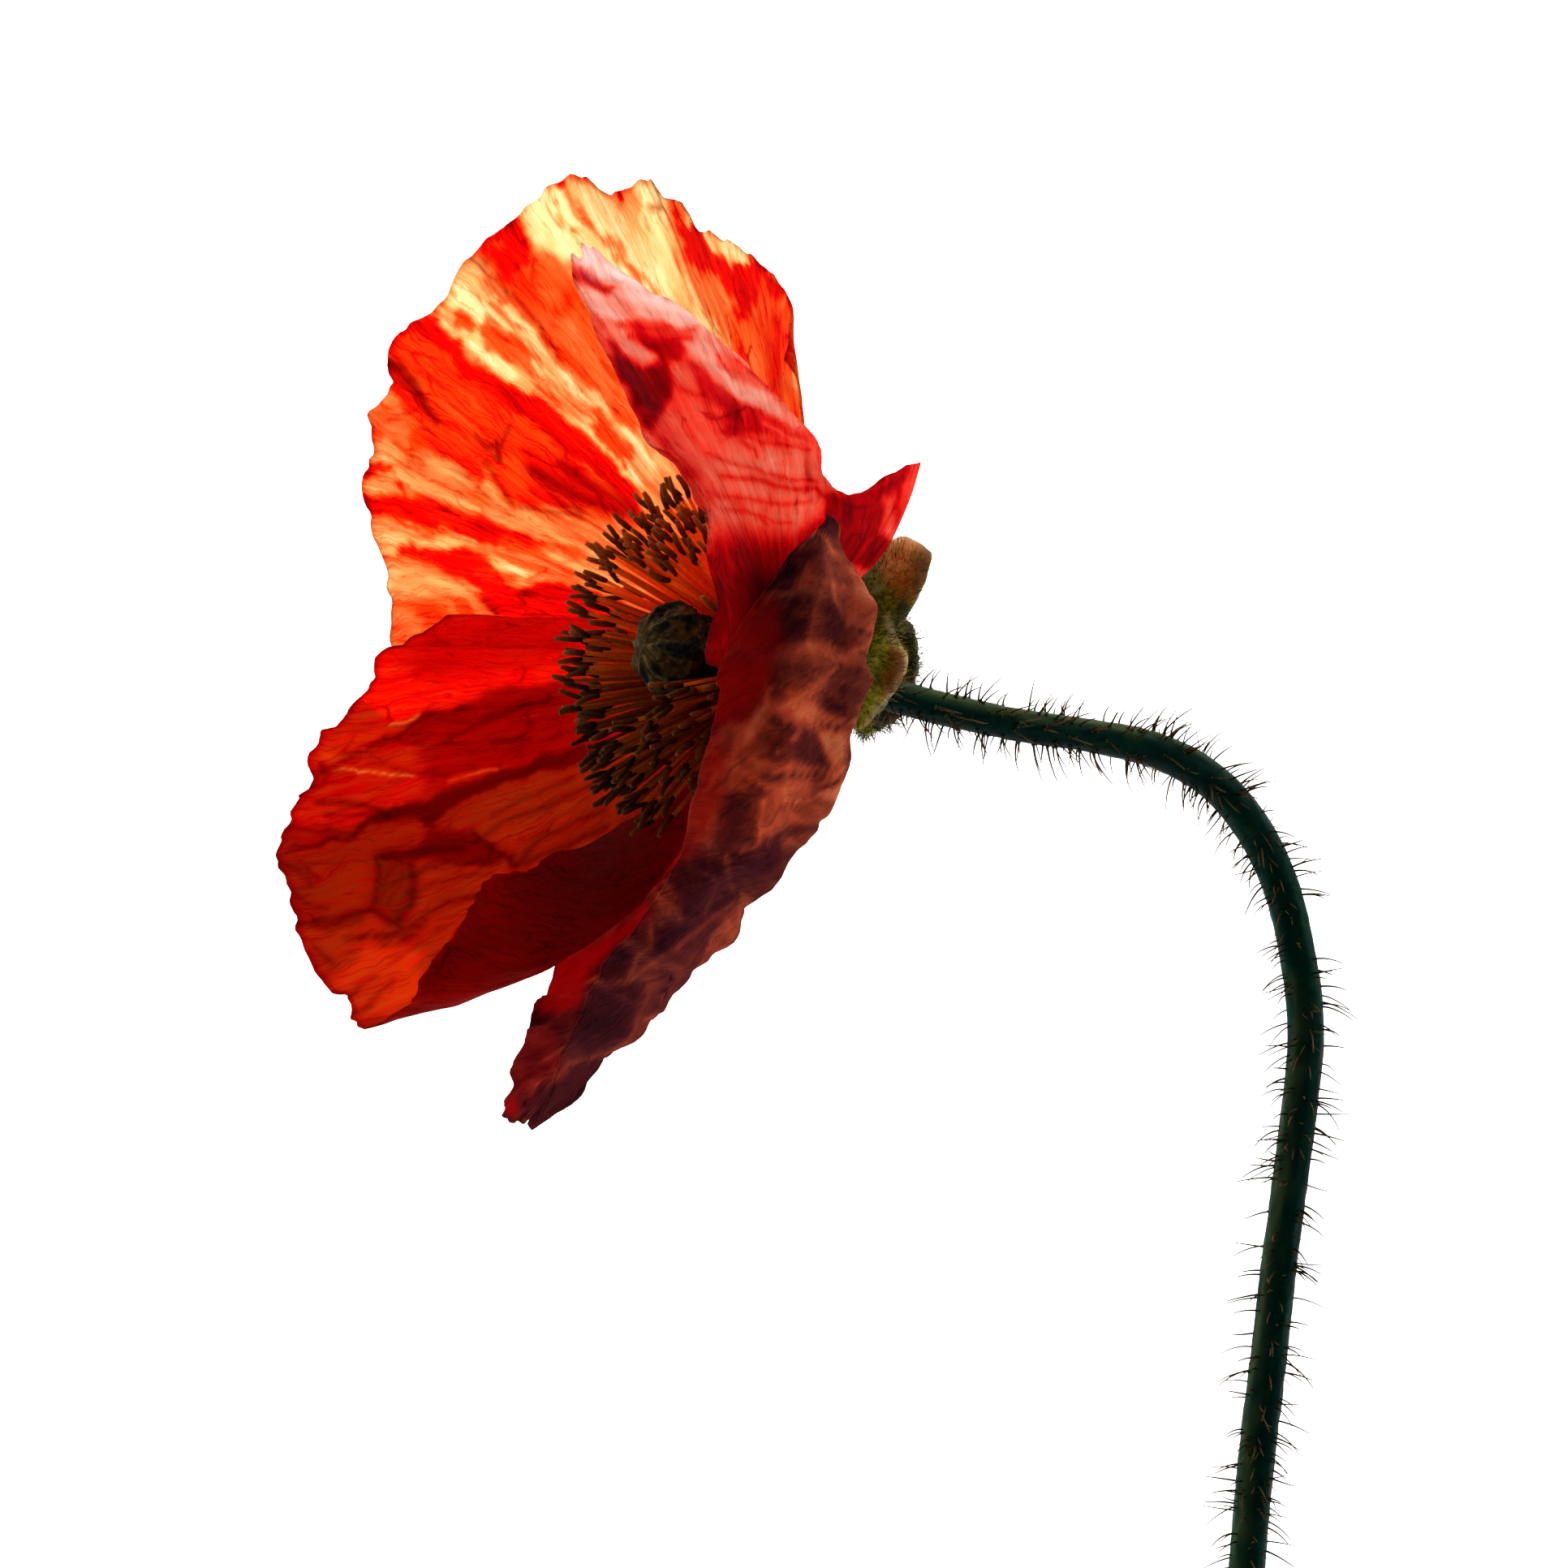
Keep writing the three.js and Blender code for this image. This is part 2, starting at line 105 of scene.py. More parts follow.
def facets(x, y, seed):
    """Random heights joined by flat triangles, as in crumpled paper, with the knots pushed about."""
    x, y = x + 0.35 * noise(x * 0.7, y * 0.7, seed + 1), y + 0.35 * noise(x * 0.7, y * 0.7, seed + 2)
    a, b, c, d, u, v = corners_of(x, y, seed)
    lower = a + (b - a) * u + (d - b) * v
    upper = a + (c - a) * v + (d - c) * u
    return np.where(u > v, lower, upper)


def ridges(x, y, seed):
    """Thin wandering lines: 1 on them, 0 between."""
    return np.clip(1 - 5 * np.abs(noise(x, y, seed)), 0, 1)


def spline(points, s):
    """Uniform Catmull-Rom curve through the points, tension 0.5, as in the solids."""
    points = np.asarray(points, float)
    last = len(points) - 1
    ends = np.vstack([2 * points[0] - points[1], points, 2 * points[-1] - points[-2]])
    x = np.asarray(s, float) * last
    i = np.minimum(np.floor(x).astype(int), last - 1)
    u = (x - i)[..., None]
    p0, p1, p2, p3 = ends[i], ends[i + 1], ends[i + 2], ends[i + 3]
    m1, m2 = 0.5 * (p2 - p0), 0.5 * (p3 - p1)
    return (2 * p1 - 2 * p2 + m1 + m2) * u**3 + (3 * p2 - 3 * p1 - 2 * m1 - m2) * u**2 + m1 * u + p1


def grid_normals(points):
    across = np.gradient(points, axis=1)
    along = np.gradient(points, axis=0)
    return unit(np.cross(across, along))


# ---- marks: shapes and lines given by places in mm right of and above the receptacle ----
def distance(x, y, route):
    """Distance in mm, seen from above, to a line through the places of route."""
    near = np.full(x.shape, 99.0)
    for (ax, ay), (bx, by) in zip(route, route[1:]):
        u = ((x - ax) * (bx - ax) + (y - ay) * (by - ay)) / ((bx - ax) ** 2 + (by - ay) ** 2)
        u = np.clip(u, 0, 1)
        near = np.minimum(near, np.hypot(x - ax - u * (bx - ax), y - ay - u * (by - ay)))
    return near


def stroke(x, y, width, route):
    """1 along a line through the places, soft over width mm."""
    return np.exp(-((distance(x, y, route) / width) ** 1.5))


def patch(x, y, soft, corners):
    """1 inside a shape with these corners, its edge soft over so many mm."""
    inside = np.zeros(x.shape, bool)
    for (ax, ay), (bx, by) in zip(corners, corners[1:] + corners[:1]):
        crosses = (ay > y) != (by > y)
        inside ^= crosses & (x < ax + (bx - ax) * (y - ay) / (by - ay + 1e-9))
    near = distance(x, y, corners + corners[:1])
    return smooth(-soft, soft, np.where(inside, near, -near))


def strongest(shape, x, y, marks):
    """The strongest of several marks, each (strength, width, places), drawn as shape: stroke or patch."""
    return np.max([strength * shape(x, y, width, places) for strength, width, places in marks], axis=0)


def furrows(x, y, creases):
    """How deep the creases are, up to 1. Each is wider than its dark line."""
    return np.minimum(sum(depth * stroke(x, y, 2.5 * width, route) for depth, width, route in creases), 1)


def wash(tone, level, mask):
    return tone + (level - tone) * mask


def washed(tone, shape, x, y, marks, softer=1.0, strength=1.0):
    """The tone under marks, each (level, width, places), later ones over earlier ones."""
    for level, width, places in marks:
        tone = wash(tone, level, strength * shape(x, y, softer * width, places))
    return tone


def petal_paint(tone, shade, wash_share):
    return np.stack([np.clip(tone, 0, 1), np.clip(shade, 0.05, 1), np.clip(wash_share, 0, 1)], -1)


# ---- meshes ----
def make(name, points, faces, materials, uv=None, paint=None, face_material=None):
    """A smooth mesh from points in the bloom's millimetres."""
    mesh = bpy.data.meshes.new(name)
    mesh.from_pydata(((points + RECEPTACLE) * MM).tolist(), [], faces)
    mesh.polygons.foreach_set("use_smooth", np.ones(len(faces), bool))
    for material in materials:
        mesh.materials.append(material)
    if face_material is not None:
        mesh.polygons.foreach_set("material_index", face_material)
    if uv is not None:
        corner = np.zeros(len(mesh.loops), int)
        mesh.loops.foreach_get("vertex_index", corner)
        mesh.uv_layers.new(name="sheet").data.foreach_set("uv", uv[corner].astype(np.float32).ravel())
    if paint is not None:
        colours = np.ones((len(points), 4), np.float32)
        colours[:, :3] = paint
        layer = mesh.color_attributes.new("paint", "FLOAT_COLOR", "POINT")
        layer.data.foreach_set("color", colours.ravel())
    mesh.update()
    piece = bpy.data.objects.new(name, mesh)
    bpy.context.scene.collection.objects.link(piece)
    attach(piece, "root")
    return piece


def join(name, parts, materials):
    """One piece from parts of (points, faces, along, draw, material)."""
    all_points, all_faces, paint, material = [], [], [], []
    offset = 0
    for points, faces, along, draw, index in parts:
        all_points.append(points)
        all_faces += [[corner + offset for corner in face] for face in faces]
        paint.append(np.stack([along, draw, np.zeros(len(points))], -1))
        material += [index] * len(faces)
        offset += len(points)
    points, paint = np.vstack(all_points), np.vstack(paint)
    return make(name, points, all_faces, materials, paint=paint, face_material=material)


def shell_faces(rows, columns):
    """Faces of a closed sheet: two grids of points, joined round the edge."""
    layer = (rows + 1) * (columns + 1)
    at = np.arange(layer).reshape(rows + 1, columns + 1)
    a, b, c, d = at[:-1, :-1], at[:-1, 1:], at[1:, 1:], at[1:, :-1]
    top = np.stack([a, b, c, d], -1).reshape(-1, 4)
    edge = np.concatenate([at[0, :-1], at[:-1, -1], at[-1, :0:-1], at[:0:-1, 0]])
    following = np.roll(edge, -1)
    rim = np.stack([edge, edge + layer, following + layer, following], -1)
    return np.vstack([top, top[:, ::-1] + layer, rim]).tolist()


def tube_faces(steps, sides):
    """Wall, start and end of a tube whose rings are followed by the middle points of its two ends."""
    ring, side = np.meshgrid(np.arange(steps - 1), np.arange(sides), indexing="ij")
    beside = (side + 1) % sides
    wall = np.stack([ring * sides + side, ring * sides + beside,
                     (ring + 1) * sides + beside, (ring + 1) * sides + side], -1).reshape(-1, 4)
    k = np.arange(sides)
    following = (k + 1) % sides
    last = (steps - 1) * sides
    start = np.stack([np.full(sides, steps * sides), following, k], -1)
    end = np.stack([np.full(sides, steps * sides + 1), last + k, last + following], -1)
    return wall, start, end


def tubes(paths, radii, sides):
    """Closed tubes along many paths at once: paths is (tubes, steps, 3), radii is (tubes, steps)."""
    count, steps = radii.shape
    tangent = unit(np.gradient(paths, axis=1))
    level = np.where(np.abs(tangent[:, :1, 2:]) < 0.8, [[[0.0, 0.0, 1.0]]], [[[1.0, 0.0, 0.0]]])
    first = unit(np.cross(level, tangent))
    second = np.cross(tangent, first)
    angle = 2 * math.pi * np.arange(sides) / sides
    turn = first[:, :, None] * np.cos(angle)[:, None] + second[:, :, None] * np.sin(angle)[:, None]
    rings = paths[:, :, None] + radii[:, :, None, None] * turn
    points = np.concatenate([rings.reshape(count, -1, 3), paths[:, :1], paths[:, -1:]], 1)
    each = steps * sides + 2
    faces = []
    for first_point in range(0, count * each, each):
        for part in tube_faces(steps, sides):
            faces += (part + first_point).tolist()
    along = np.repeat(np.tile(np.linspace(0, 1, steps), (count, 1)), sides, axis=1)
    along = np.concatenate([along, np.zeros((count, 1)), np.ones((count, 1))], 1)
    return points.reshape(-1, 3), faces, along


# ---- sheets ----
class Sheet:
    """A petal or husk half: its smooth form as in the solids, then its fine relief."""

    def __init__(self, ring, start, end, rim, middle, relief, rows, columns, rests=False, thickness=PETAL):
        self.ring, self.start, self.end = ring, math.radians(start), math.radians(end)
        self.rim, self.middle, self.relief = rim, middle, relief
        self.rows, self.columns, self.rests, self.thickness = rows, columns, rests, thickness
        out, across = np.linspace(0, 1, rows + 1), np.linspace(0, 1, columns + 1)
        self.t, self.s = np.meshgrid(out, across, indexing="ij")

    def plain(self, s, t):
        angle = mix(self.start, self.end, s)[..., None]
        radius, depth = self.ring
        claw = radius * np.cos(angle) * UP + radius * np.sin(angle) * FAR + depth * AXIS
        t = t[..., None]
        inward = (1 - t) * (1 - 2 * t) * claw + 4 * t * (1 - t) * spline(self.middle, s)
        return inward + t * (2 * t - 1) * spline(self.rim, s)

    def form(self, nick, fine):
        """Points of the middle surface. nick(s) shortens the rim, fine(s, t) stands out of the form."""
        s, t = self.s, self.t
        reach = t * (1 - nick(s) * t**6)
        points = self.plain(s, reach)
        points = points + (self.relief(s, reach))[..., None] * grid_normals(points)
        self.smooth_normals = grid_normals(points)
        self.points = points
        self.height = fine(s, reach)
        points = points + self.height[..., None] * self.smooth_normals
        if self.rests:
            points[..., 2] = np.maximum(points[..., 2], SURFACE + self.thickness / 2)
        self.points = points
        self.normals = grid_normals(points)

    def seen(self, seed, feather=0.0, unsteady=1.0):
        """Places seen from above, mm from the receptacle, pushed about so that marks get natural edges."""
        nearer = 1 + self.points[..., 2] / VIEW_HEIGHT
        x, y = self.points[..., 0] * nearer, self.points[..., 1] * nearer
        sway_x, sway_y = (waves(x, y, (0.4, 0.6, 0.6, seed + k), (0.13, 2.2, 2.2, seed + k + 2))
                          for k in (0, 1))
        vein = waves(self.s, self.t, (1, 110, 5, seed + 5), (0.7, 230, 9, seed + 6))
        outward = unit(self.points - self.points[:1, self.columns // 2])
        run = feather * vein * smooth(0.05, 0.3, self.t)
        x, y = x + run * outward[..., 0], y + run * outward[..., 1]
        return x + unsteady * sway_x, y + unsteady * sway_y

    def wavering(self, seed):
        """s pushed about a little, so that streaks along t don't run quite straight."""
        s, t = self.s, self.t
        return s + 0.006 * noise(s * 18, t * 7, seed) + 0.003 * noise(s * 120, t * 5, seed + 1)

    def crumple(self, coarse, fine, seed):
        """Flat facets of two sizes (mm) over the sheet as it lies, standing out along its normals."""
        x, y, z = np.moveaxis(self.points, -1, 0)
        along = x * 0.5 + y * 0.86 + 37
        across = x * 0.86 - y * 0.5 + 0.7 * z + 51
        large = facets(along / coarse, across / coarse, seed)
        return large + 0.35 * facets(along / fine, across / fine, seed + 3)

    def folds(self):
        """How far each point is on a ridge and in a valley of the fine relief, each from 0 to 1; the
        petals' paint turns them into painted shade and light.
        """
        along = np.linalg.norm(np.gradient(self.points, axis=0), axis=-1).mean()
        across = np.maximum(np.linalg.norm(np.gradient(self.points, axis=1), axis=-1), 0.05)
        bend = (np.gradient(np.gradient(self.height, axis=1), axis=1) / across**2
                + np.gradient(np.gradient(self.height, axis=0), axis=0) / along**2)
        return np.clip(-bend / 6, 0, 1), np.clip(bend / 6, 0, 1)

    def facing_light(self):
        """How far the fine relief turns the surface towards the upper left, from about -1 to 1; the near
        petals' paint uses it as painted light from the upper left.
        """
        turned = ((self.normals - self.smooth_normals) * np.array([-0.6, 0.5, 0.0])).sum(-1)
        return turned * np.sign(self.smooth_normals[..., 2])

    def slant(self):
        """How far the fine relief tips the surface, 0 where it is level with the form; the far petals'
        paint darkens there as painted shade.
        """
        return 1 - np.clip(np.abs((self.normals * self.smooth_normals).sum(-1)), 0, 1)

    def piece(self, name, node, slot, material, paint):
        half = self.normals * self.thickness / 2
        points = np.concatenate([(self.points + half).reshape(-1, 3), (self.points - half).reshape(-1, 3)])
        points[:, 2] = np.maximum(points[:, 2], SURFACE)
        uv = np.stack([self.s, self.t], -1).reshape(-1, 2)
        paint = paint.reshape(-1, 3)
        faces = shell_faces(self.rows, self.columns)
        made = make(name, points, faces, [material], np.vstack([uv, uv]), np.vstack([paint, paint]))
        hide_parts(node)


# ---- far upper petal: pale and streaked, with deep red bands ----
FAR_UPPER = Sheet(
    OUTER, -8, 92,
    rim=[
        (0.6, 26, 2), (0.9, 31, 0.5), (-0.8, 33.9, -1), (-3.2, 35.3, -3), (-4.9, 38, -5), (-7, 40.3, -7),
        (-10.2, 40.8, -9), (-12.6, 42.3, -11), (-14.5, 41.2, -12), (-16.5, 42.4, -13), (-19.5, 41.9, -14.5),
        (-22.5, 39.3, -16), (-25.2, 37.4, -17), (-27.3, 34, -18), (-30, 30.9, -19), (-32.8, 29.9, -19),
        (-34.4, 27.4, -19.5), (-34.3, 24.2, -20), (-36, 20.8, -20), (-36.1, 17.3, -20.5),
        (-34.7, 13.4, -20.5), (-34, 9.5, -21), (-34.1, 5.4, -22), (-33.7, 1.5, -23), (-30.5, -2, -23.5),
    ],
    middle=[
        (2.3, 15.5, 2), (0, 18.5, -6), (-5, 20, -12), (-11, 19, -16.5), (-16, 14, -20.5),
        (-17.5, 7.5, -22.7), (-15.5, 1.5, -22.5),
    ],
    relief=lambda s, t: (
        1.1 * (bump(0.58, 0.03, s) - bump(0.66, 0.035, s)) * smooth(0.2, 0.6, t)
        + 0.55 * np.sin(2 * math.pi * (7 * s + 0.4 * t)) * smooth(0.15, 1, t)
        + 0.6 * np.sin(2 * math.pi * 3.5 * s + 1) * smooth(0.55, 1, t)
    ),
    rows=190, columns=230, rests=True,
)


# marks are (tone, softness or half-width in mm, places), later ones over earlier ones; the places are
# mm right of and above the receptacle, and the tones 0 pale yellow, 0.4 coral, 0.57 orange, 0.75 deep red
FAR_UPPER_FIELDS = [
    # the pale streaked field between the red river and the coral sector, with its islands
    (0.16, 0.5, [(-30, 30), (-28.4, 33), (-26, 36.4), (-24.5, 34), (-21.8, 31.2), (-19, 27.4),
        (-16.4, 23.6), (-12.5, 20.6), (-9.5, 17), (-12, 15.6), (-15, 18.4), (-18, 21.5), (-20.5, 23.8),
        (-24.6, 25.9)]),
    (0.52, 0.18, [(-28.1, 31.5), (-26.9, 31.1), (-26.3, 29.8), (-26.8, 28.6), (-27.9, 29.7)]),
    (0.47, 0.2, [(-26, 29.5), (-24.6, 29.8), (-22.2, 28.7), (-20.6, 26.4), (-20.7, 24.6), (-22.5, 26.5),
        (-24.8, 27.3)]),
    (0.45, 0.15, [(-25.6, 31.5), (-24, 31.4), (-21.4, 29.6), (-23, 29.9)]),
    (0.45, 0.15, [(-25.8, 33.6), (-24, 32.7), (-21.8, 31.3), (-24, 31.9)]),
    (0.36, 0.2, [(-29.2, 33), (-27.4, 33.8), (-26.4, 32.4), (-27.8, 32.2)]),
    (0.34, 0.3, [(-20.4, 25.2), (-17, 23.6), (-14.8, 21.6), (-17, 21), (-20.7, 23.8)]),
    (0.55, 0.2, [(-15.6, 22.2), (-14.2, 21.7), (-12.2, 18.8), (-13.2, 17.2), (-15.9, 19.8)]),
    # the coral sector, red towards its rim
    (0.45, 0.2, [(-26.4, 36.4), (-22.6, 38.8), (-21, 36.2), (-17.2, 34.2), (-15, 31), (-12, 26),
        (-9.5, 20), (-12.5, 20.6), (-16.4, 23.6), (-19, 27.4), (-21.8, 31.2), (-24.5, 34)]),
    (0.56, 0.9, [(-22.6, 35), (-20, 33.4), (-20.6, 30), (-22.8, 32)]),
    (0.73, 0.35, [(-26.2, 36.5), (-24.6, 37.4), (-22.5, 38.9), (-20.9, 36.4), (-21.6, 35.4), (-22.6, 33.4),
        (-24, 33.8), (-24.4, 35.2)]),
    (0.52, 0.3, [(-24.9, 36.9), (-23.8, 37.3), (-23.2, 36.5), (-24.8, 36.1)]),
    # the pale sector right of it
    (0.10, 0.5, [(-18.2, 42.6), (-9.6, 41.4), (-8.6, 37), (-7.4, 33), (-3, 27), (-9, 30.5), (-17.2, 34.4),
        (-21, 36.4), (-22.6, 38.9)]),
    (0.64, 0.2, [(-19.3, 41.9), (-17.9, 42.4), (-18, 40.8)]),
    (0.75, 0.15, [(-14.2, 40.7), (-12.9, 41.6), (-13.2, 40.5)]),
    (0.37, 0.5, [(-10, 41.2), (-8.9, 40.6), (-8.4, 38), (-7.8, 35), (-6.4, 33.4), (-5, 33), (-3.9, 31.8),
        (-2.6, 27), (-5.6, 30.2), (-7.4, 33), (-8.9, 37.6)]),
    # the right side
    (0.50, 0.6, [(-4, 32), (-2.5, 31), (-1, 33), (1.4, 32), (2, 28), (2.4, 24), (3.4, 18), (0.8, 20),
        (-3, 26)]),
    (0.66, 0.5, [(0, 30), (1, 30), (0.9, 26), (0.6, 22.6), (-0.2, 23), (-0.1, 27)]),
    (0.75, 0.25, [(-9.2, 40.9), (-8.5, 40), (-7.8, 38), (-6.4, 37.2), (-5, 35.3), (-3.5, 34.5), (-2, 34.9),
        (-1.2, 35.3), (0, 33.8), (1.2, 32.8), (1.6, 30.4), (0.6, 31.6), (-1, 33), (-2.5, 29.8),
        (-3.6, 31.4), (-4.6, 33), (-6.4, 34), (-7.8, 36.2), (-8.4, 38)]),
    (0.02, 0.25, [(-7.9, 38.6), (-6, 39.2), (-6, 37.8), (-5, 36.6), (-2.6, 36), (-1.9, 35.2), (-3.2, 34.5),
        (-4.4, 35.3), (-5.4, 35.2), (-6.6, 37.4)]),
    # the red river and the orange field under it
    (0.575, 0.3, [(-34.2, 27), (-31.8, 29.8), (-29, 27.6), (-27.4, 25.3), (-22.4, 21.6), (-18, 18.5),
        (-15.5, 15.6), (-19, 13.8), (-22.6, 13.6), (-25, 17.7), (-27.6, 17.8), (-30.4, 18.4),
        (-33.2, 19.6), (-32.8, 23.2), (-34.4, 25.4)]),
    (0.67, 0.5, [(-34.4, 26.8), (-34.2, 24.6), (-32.6, 23.4), (-31.2, 22.2), (-31.6, 25), (-33, 27.6)]),
    (0.76, 0.25, [(-32.4, 29.6), (-29.9, 30.3), (-28.3, 29.2), (-25.8, 26), (-22.6, 24.5), (-20, 23),
        (-16.5, 19.8), (-12, 15.6), (-10, 11), (-14, 15), (-17, 17.8), (-20, 20), (-22.4, 21.6),
        (-25, 23.8), (-27.4, 25.3), (-29, 27.6), (-31.4, 28.8)]),
    # painted shade: a soft darker smudge
    (0.70, 0.9, [(-21.6, 18.7), (-17.6, 17.6), (-15.4, 15.6), (-12.6, 14), (-12, 11.6), (-15, 13.4),
        (-19, 13.9), (-20.8, 15.4)]),
    # the left lobe and the bands below
    (0.37, 0.25, [(-35.8, 20), (-34.4, 22.4), (-32.4, 22.6), (-30.6, 20.8), (-31.4, 18.2), (-33.4, 19.6)]),
    (0.14, 0.12, [(-35.6, 18), (-35.6, 19.6), (-33.4, 19.7), (-31.3, 18.1), (-32.4, 17.3), (-33.5, 17.5)]),
    (0.27, 0.25, [(-31, 18), (-27.8, 17.9), (-25.4, 16.6), (-22.5, 13.4), (-18, 12.9), (-14, 11),
        (-18, 11), (-24, 12.8), (-28, 13.6), (-32, 15.4), (-36.6, 15.2), (-36.6, 16.8)]),
    (0.53, 0.2, [(-27.8, 18), (-25.2, 18.2), (-25.1, 15.8), (-26.4, 16.6)]),
    (0.68, 0.2, [(-36, 18), (-34.4, 17.9), (-33, 17.2), (-33, 16.8), (-36.6, 16.8)]),
    (0.68, 0.12, [(-32.8, 16.2), (-31.9, 16.2), (-32.2, 15.6), (-33, 15.1)]),
    (0.60, 0.3, [(-36.4, 15.2), (-31, 15.2), (-28, 14), (-24.6, 12.8), (-30, 13.6)]),
    (0.75, 0.3, [(-36.4, 14.8), (-32, 14.8), (-29.5, 14.4), (-28, 13.3), (-24.5, 12.6), (-22, 11.2),
        (-17, 10.5), (-20, 9.9), (-24, 10.4), (-26, 10.8), (-28, 11.6), (-32, 11.9), (-34, 12.6),
        (-35.6, 13.4)]),
    (0.50, 0.3, [(-24.4, 11.2), (-20, 10.3), (-17.4, 10.7), (-15.6, 9.6), (-22, 9.7)]),
    (0.31, 0.25, [(-25, 10), (-22, 9.7), (-18, 9.7), (-14, 8.4), (-16, 8), (-19, 7.8), (-22, 7.1),
        (-22.6, 8.4)]),
    (0.33, 0.4, [(-36, 12), (-31, 9.3), (-28.5, 7.7), (-26, 5.7), (-23.5, 4.3), (-27, 2), (-34.5, 0),
        (-35, 6)]),
    (0.53, 0.35, [(-31.2, 5.5), (-28.4, 5.2), (-27.8, 3), (-30.4, 3)]),
    (0.57, 0.15, [(-27.9, 6.2), (-26.5, 6), (-26.3, 4.6), (-27.5, 4.1)]),
    (0.75, 0.2, [(-32.2, 10.5), (-28, 10.4), (-26.6, 9.9), (-25, 9.4), (-24, 8.4), (-22, 6.9), (-20, 7.5),
        (-17, 6.8), (-10, 4), (-12, 0), (-22, 1), (-24, 4.3), (-25.4, 5.9), (-27.4, 7.8), (-29.6, 9),
        (-31.8, 9.4)]),
    (0.61, 0.3, [(-26.2, 8.8), (-24, 8.6), (-23.4, 7.4), (-25.8, 7.4)]),
]
FAR_UPPER_LINES = [
    (0.00, 0.22, [(-28.8, 30.2), (-26.7, 28.2), (-24.2, 26)]),
    (0.00, 0.38, [(-20.4, 28), (-18, 25.1), (-15.4, 23), (-12.6, 19.7), (-10.2, 17.6)]),
    (0.04, 0.15, [(-23.6, 31), (-21.8, 30.4), (-20.4, 28.6)]),
    (0.02, 0.18, [(-27.6, 33.4), (-26.2, 32), (-25.4, 30.4), (-26, 28.6)]),
    (0.38, 0.26, [(-17.8, 40.8), (-16, 38), (-13.5, 36), (-10, 32.8)]),
    (0.40, 0.22, [(-19.4, 40.6), (-18.2, 38.4), (-16.9, 37.3)]),
    (0.32, 0.25, [(-12.6, 40.8), (-11.4, 38), (-10.4, 35.4)]),
    (0.40, 0.35, [(-15.4, 37.6), (-13, 35.8), (-11.4, 34)]),
    (0.00, 0.2, [(-18.8, 41.2), (-17.6, 38.6), (-15.8, 36.6)]),
    (0.00, 0.25, [(-20.8, 39.2), (-20.2, 37), (-18, 35.2), (-17.2, 34.4)]),
    (0.00, 0.3, [(-11.6, 39.8), (-10.6, 36), (-9, 32.6)]),
    (0.00, 0.2, [(-14.8, 38.6), (-12.4, 35.8), (-9.6, 33.2)]),
    (0.08, 0.45, [(2.1, 27), (2.3, 24.4), (3, 21.6), (3.4, 18.4)]),
    (0.30, 0.2, [(-34.4, 12.3), (-31, 12.3), (-29, 12.1), (-26.4, 11)]),
    (0.12, 0.32, [(-34.6, 11), (-30, 11.1), (-27.8, 11), (-26.4, 10.4), (-25, 10.1), (-23.6, 9),
        (-22, 8.4), (-21.8, 7.5)]),
    (0.20, 0.2, [(-23.2, 12.9), (-21.8, 12.3), (-19, 11.9), (-16, 10.8)]),
    (0.45, 0.15, [(-31.6, 9.5), (-30, 9.3), (-28.6, 8.9)]),
    (0.05, 0.1, [(-24.3, 4.6), (-23.6, 4.3), (-21, 4), (-19.3, 3.5)]),
]
# creases are (strength, half-width in mm, places); they sink into the sheet, and their dark lines are
# painted shade
FAR_UPPER_CREASES = [
    (0.50, 0.16, [(-26.3, 35.8), (-24.6, 33.6), (-22.4, 32), (-21.2, 30.8), (-19.6, 28.4), (-18.2, 26.3)]),
    (0.40, 0.12, [(-25.4, 35.6), (-24, 33.3), (-22.4, 32.2)]),
    (0.70, 0.25, [(-33.8, 26.8), (-32.2, 25.4), (-31, 24), (-30.4, 22.8), (-29.2, 21.2)]),
    (0.50, 0.2, [(-32.8, 26.8), (-31.2, 24.8), (-30, 22.4)]),
    (0.35, 0.15, [(-34.6, 20.8), (-33, 21.2), (-32, 22), (-31, 22.2)]),
    (0.45, 0.14, [(-25.9, 20.2), (-25, 19), (-23.6, 19.2), (-22.9, 20.8)]),
    (0.70, 0.2, [(-24, 19.3), (-23.7, 17.9)]),
    (0.50, 0.18, [(-25.1, 17.8), (-23.6, 15.6), (-22.4, 13.8), (-20, 13.4), (-16.6, 13.2)]),
    (0.40, 0.12, [(-29, 18), (-26.5, 16.4), (-24.6, 14.6), (-22.6, 12.8)]),
    (0.30, 0.15, [(-31.6, 17.6), (-30.2, 18.2), (-28.8, 18.3), (-27, 17.8)]),
    (0.45, 0.4, [(-18.4, 17.6), (-16.6, 16), (-14.6, 14.8), (-12.4, 13.4)]),
    (0.45, 0.35, [(-20.8, 17.2), (-18.4, 15.6), (-16, 14.4), (-13, 13.2)]),
    (0.45, 0.2, [(-21.2, 15.4), (-19.4, 14), (-16.6, 13.8)]),
    (0.25, 0.12, [(-33.4, 19.7), (-32, 18.8), (-31, 17.9)]),
    (0.45, 0.14, [(-14.9, 26.3), (-14.3, 25.4), (-13.2, 24.2)]),
    (0.25, 0.12, [(-18, 24.6), (-15.4, 23.2), (-13.4, 22)]),
    (0.40, 0.14, [(-27.6, 7.6), (-25.6, 6), (-23.9, 4.6)]),
    (0.30, 0.12, [(-22.4, 6.4), (-19, 6.9), (-16, 6.4)]),
]


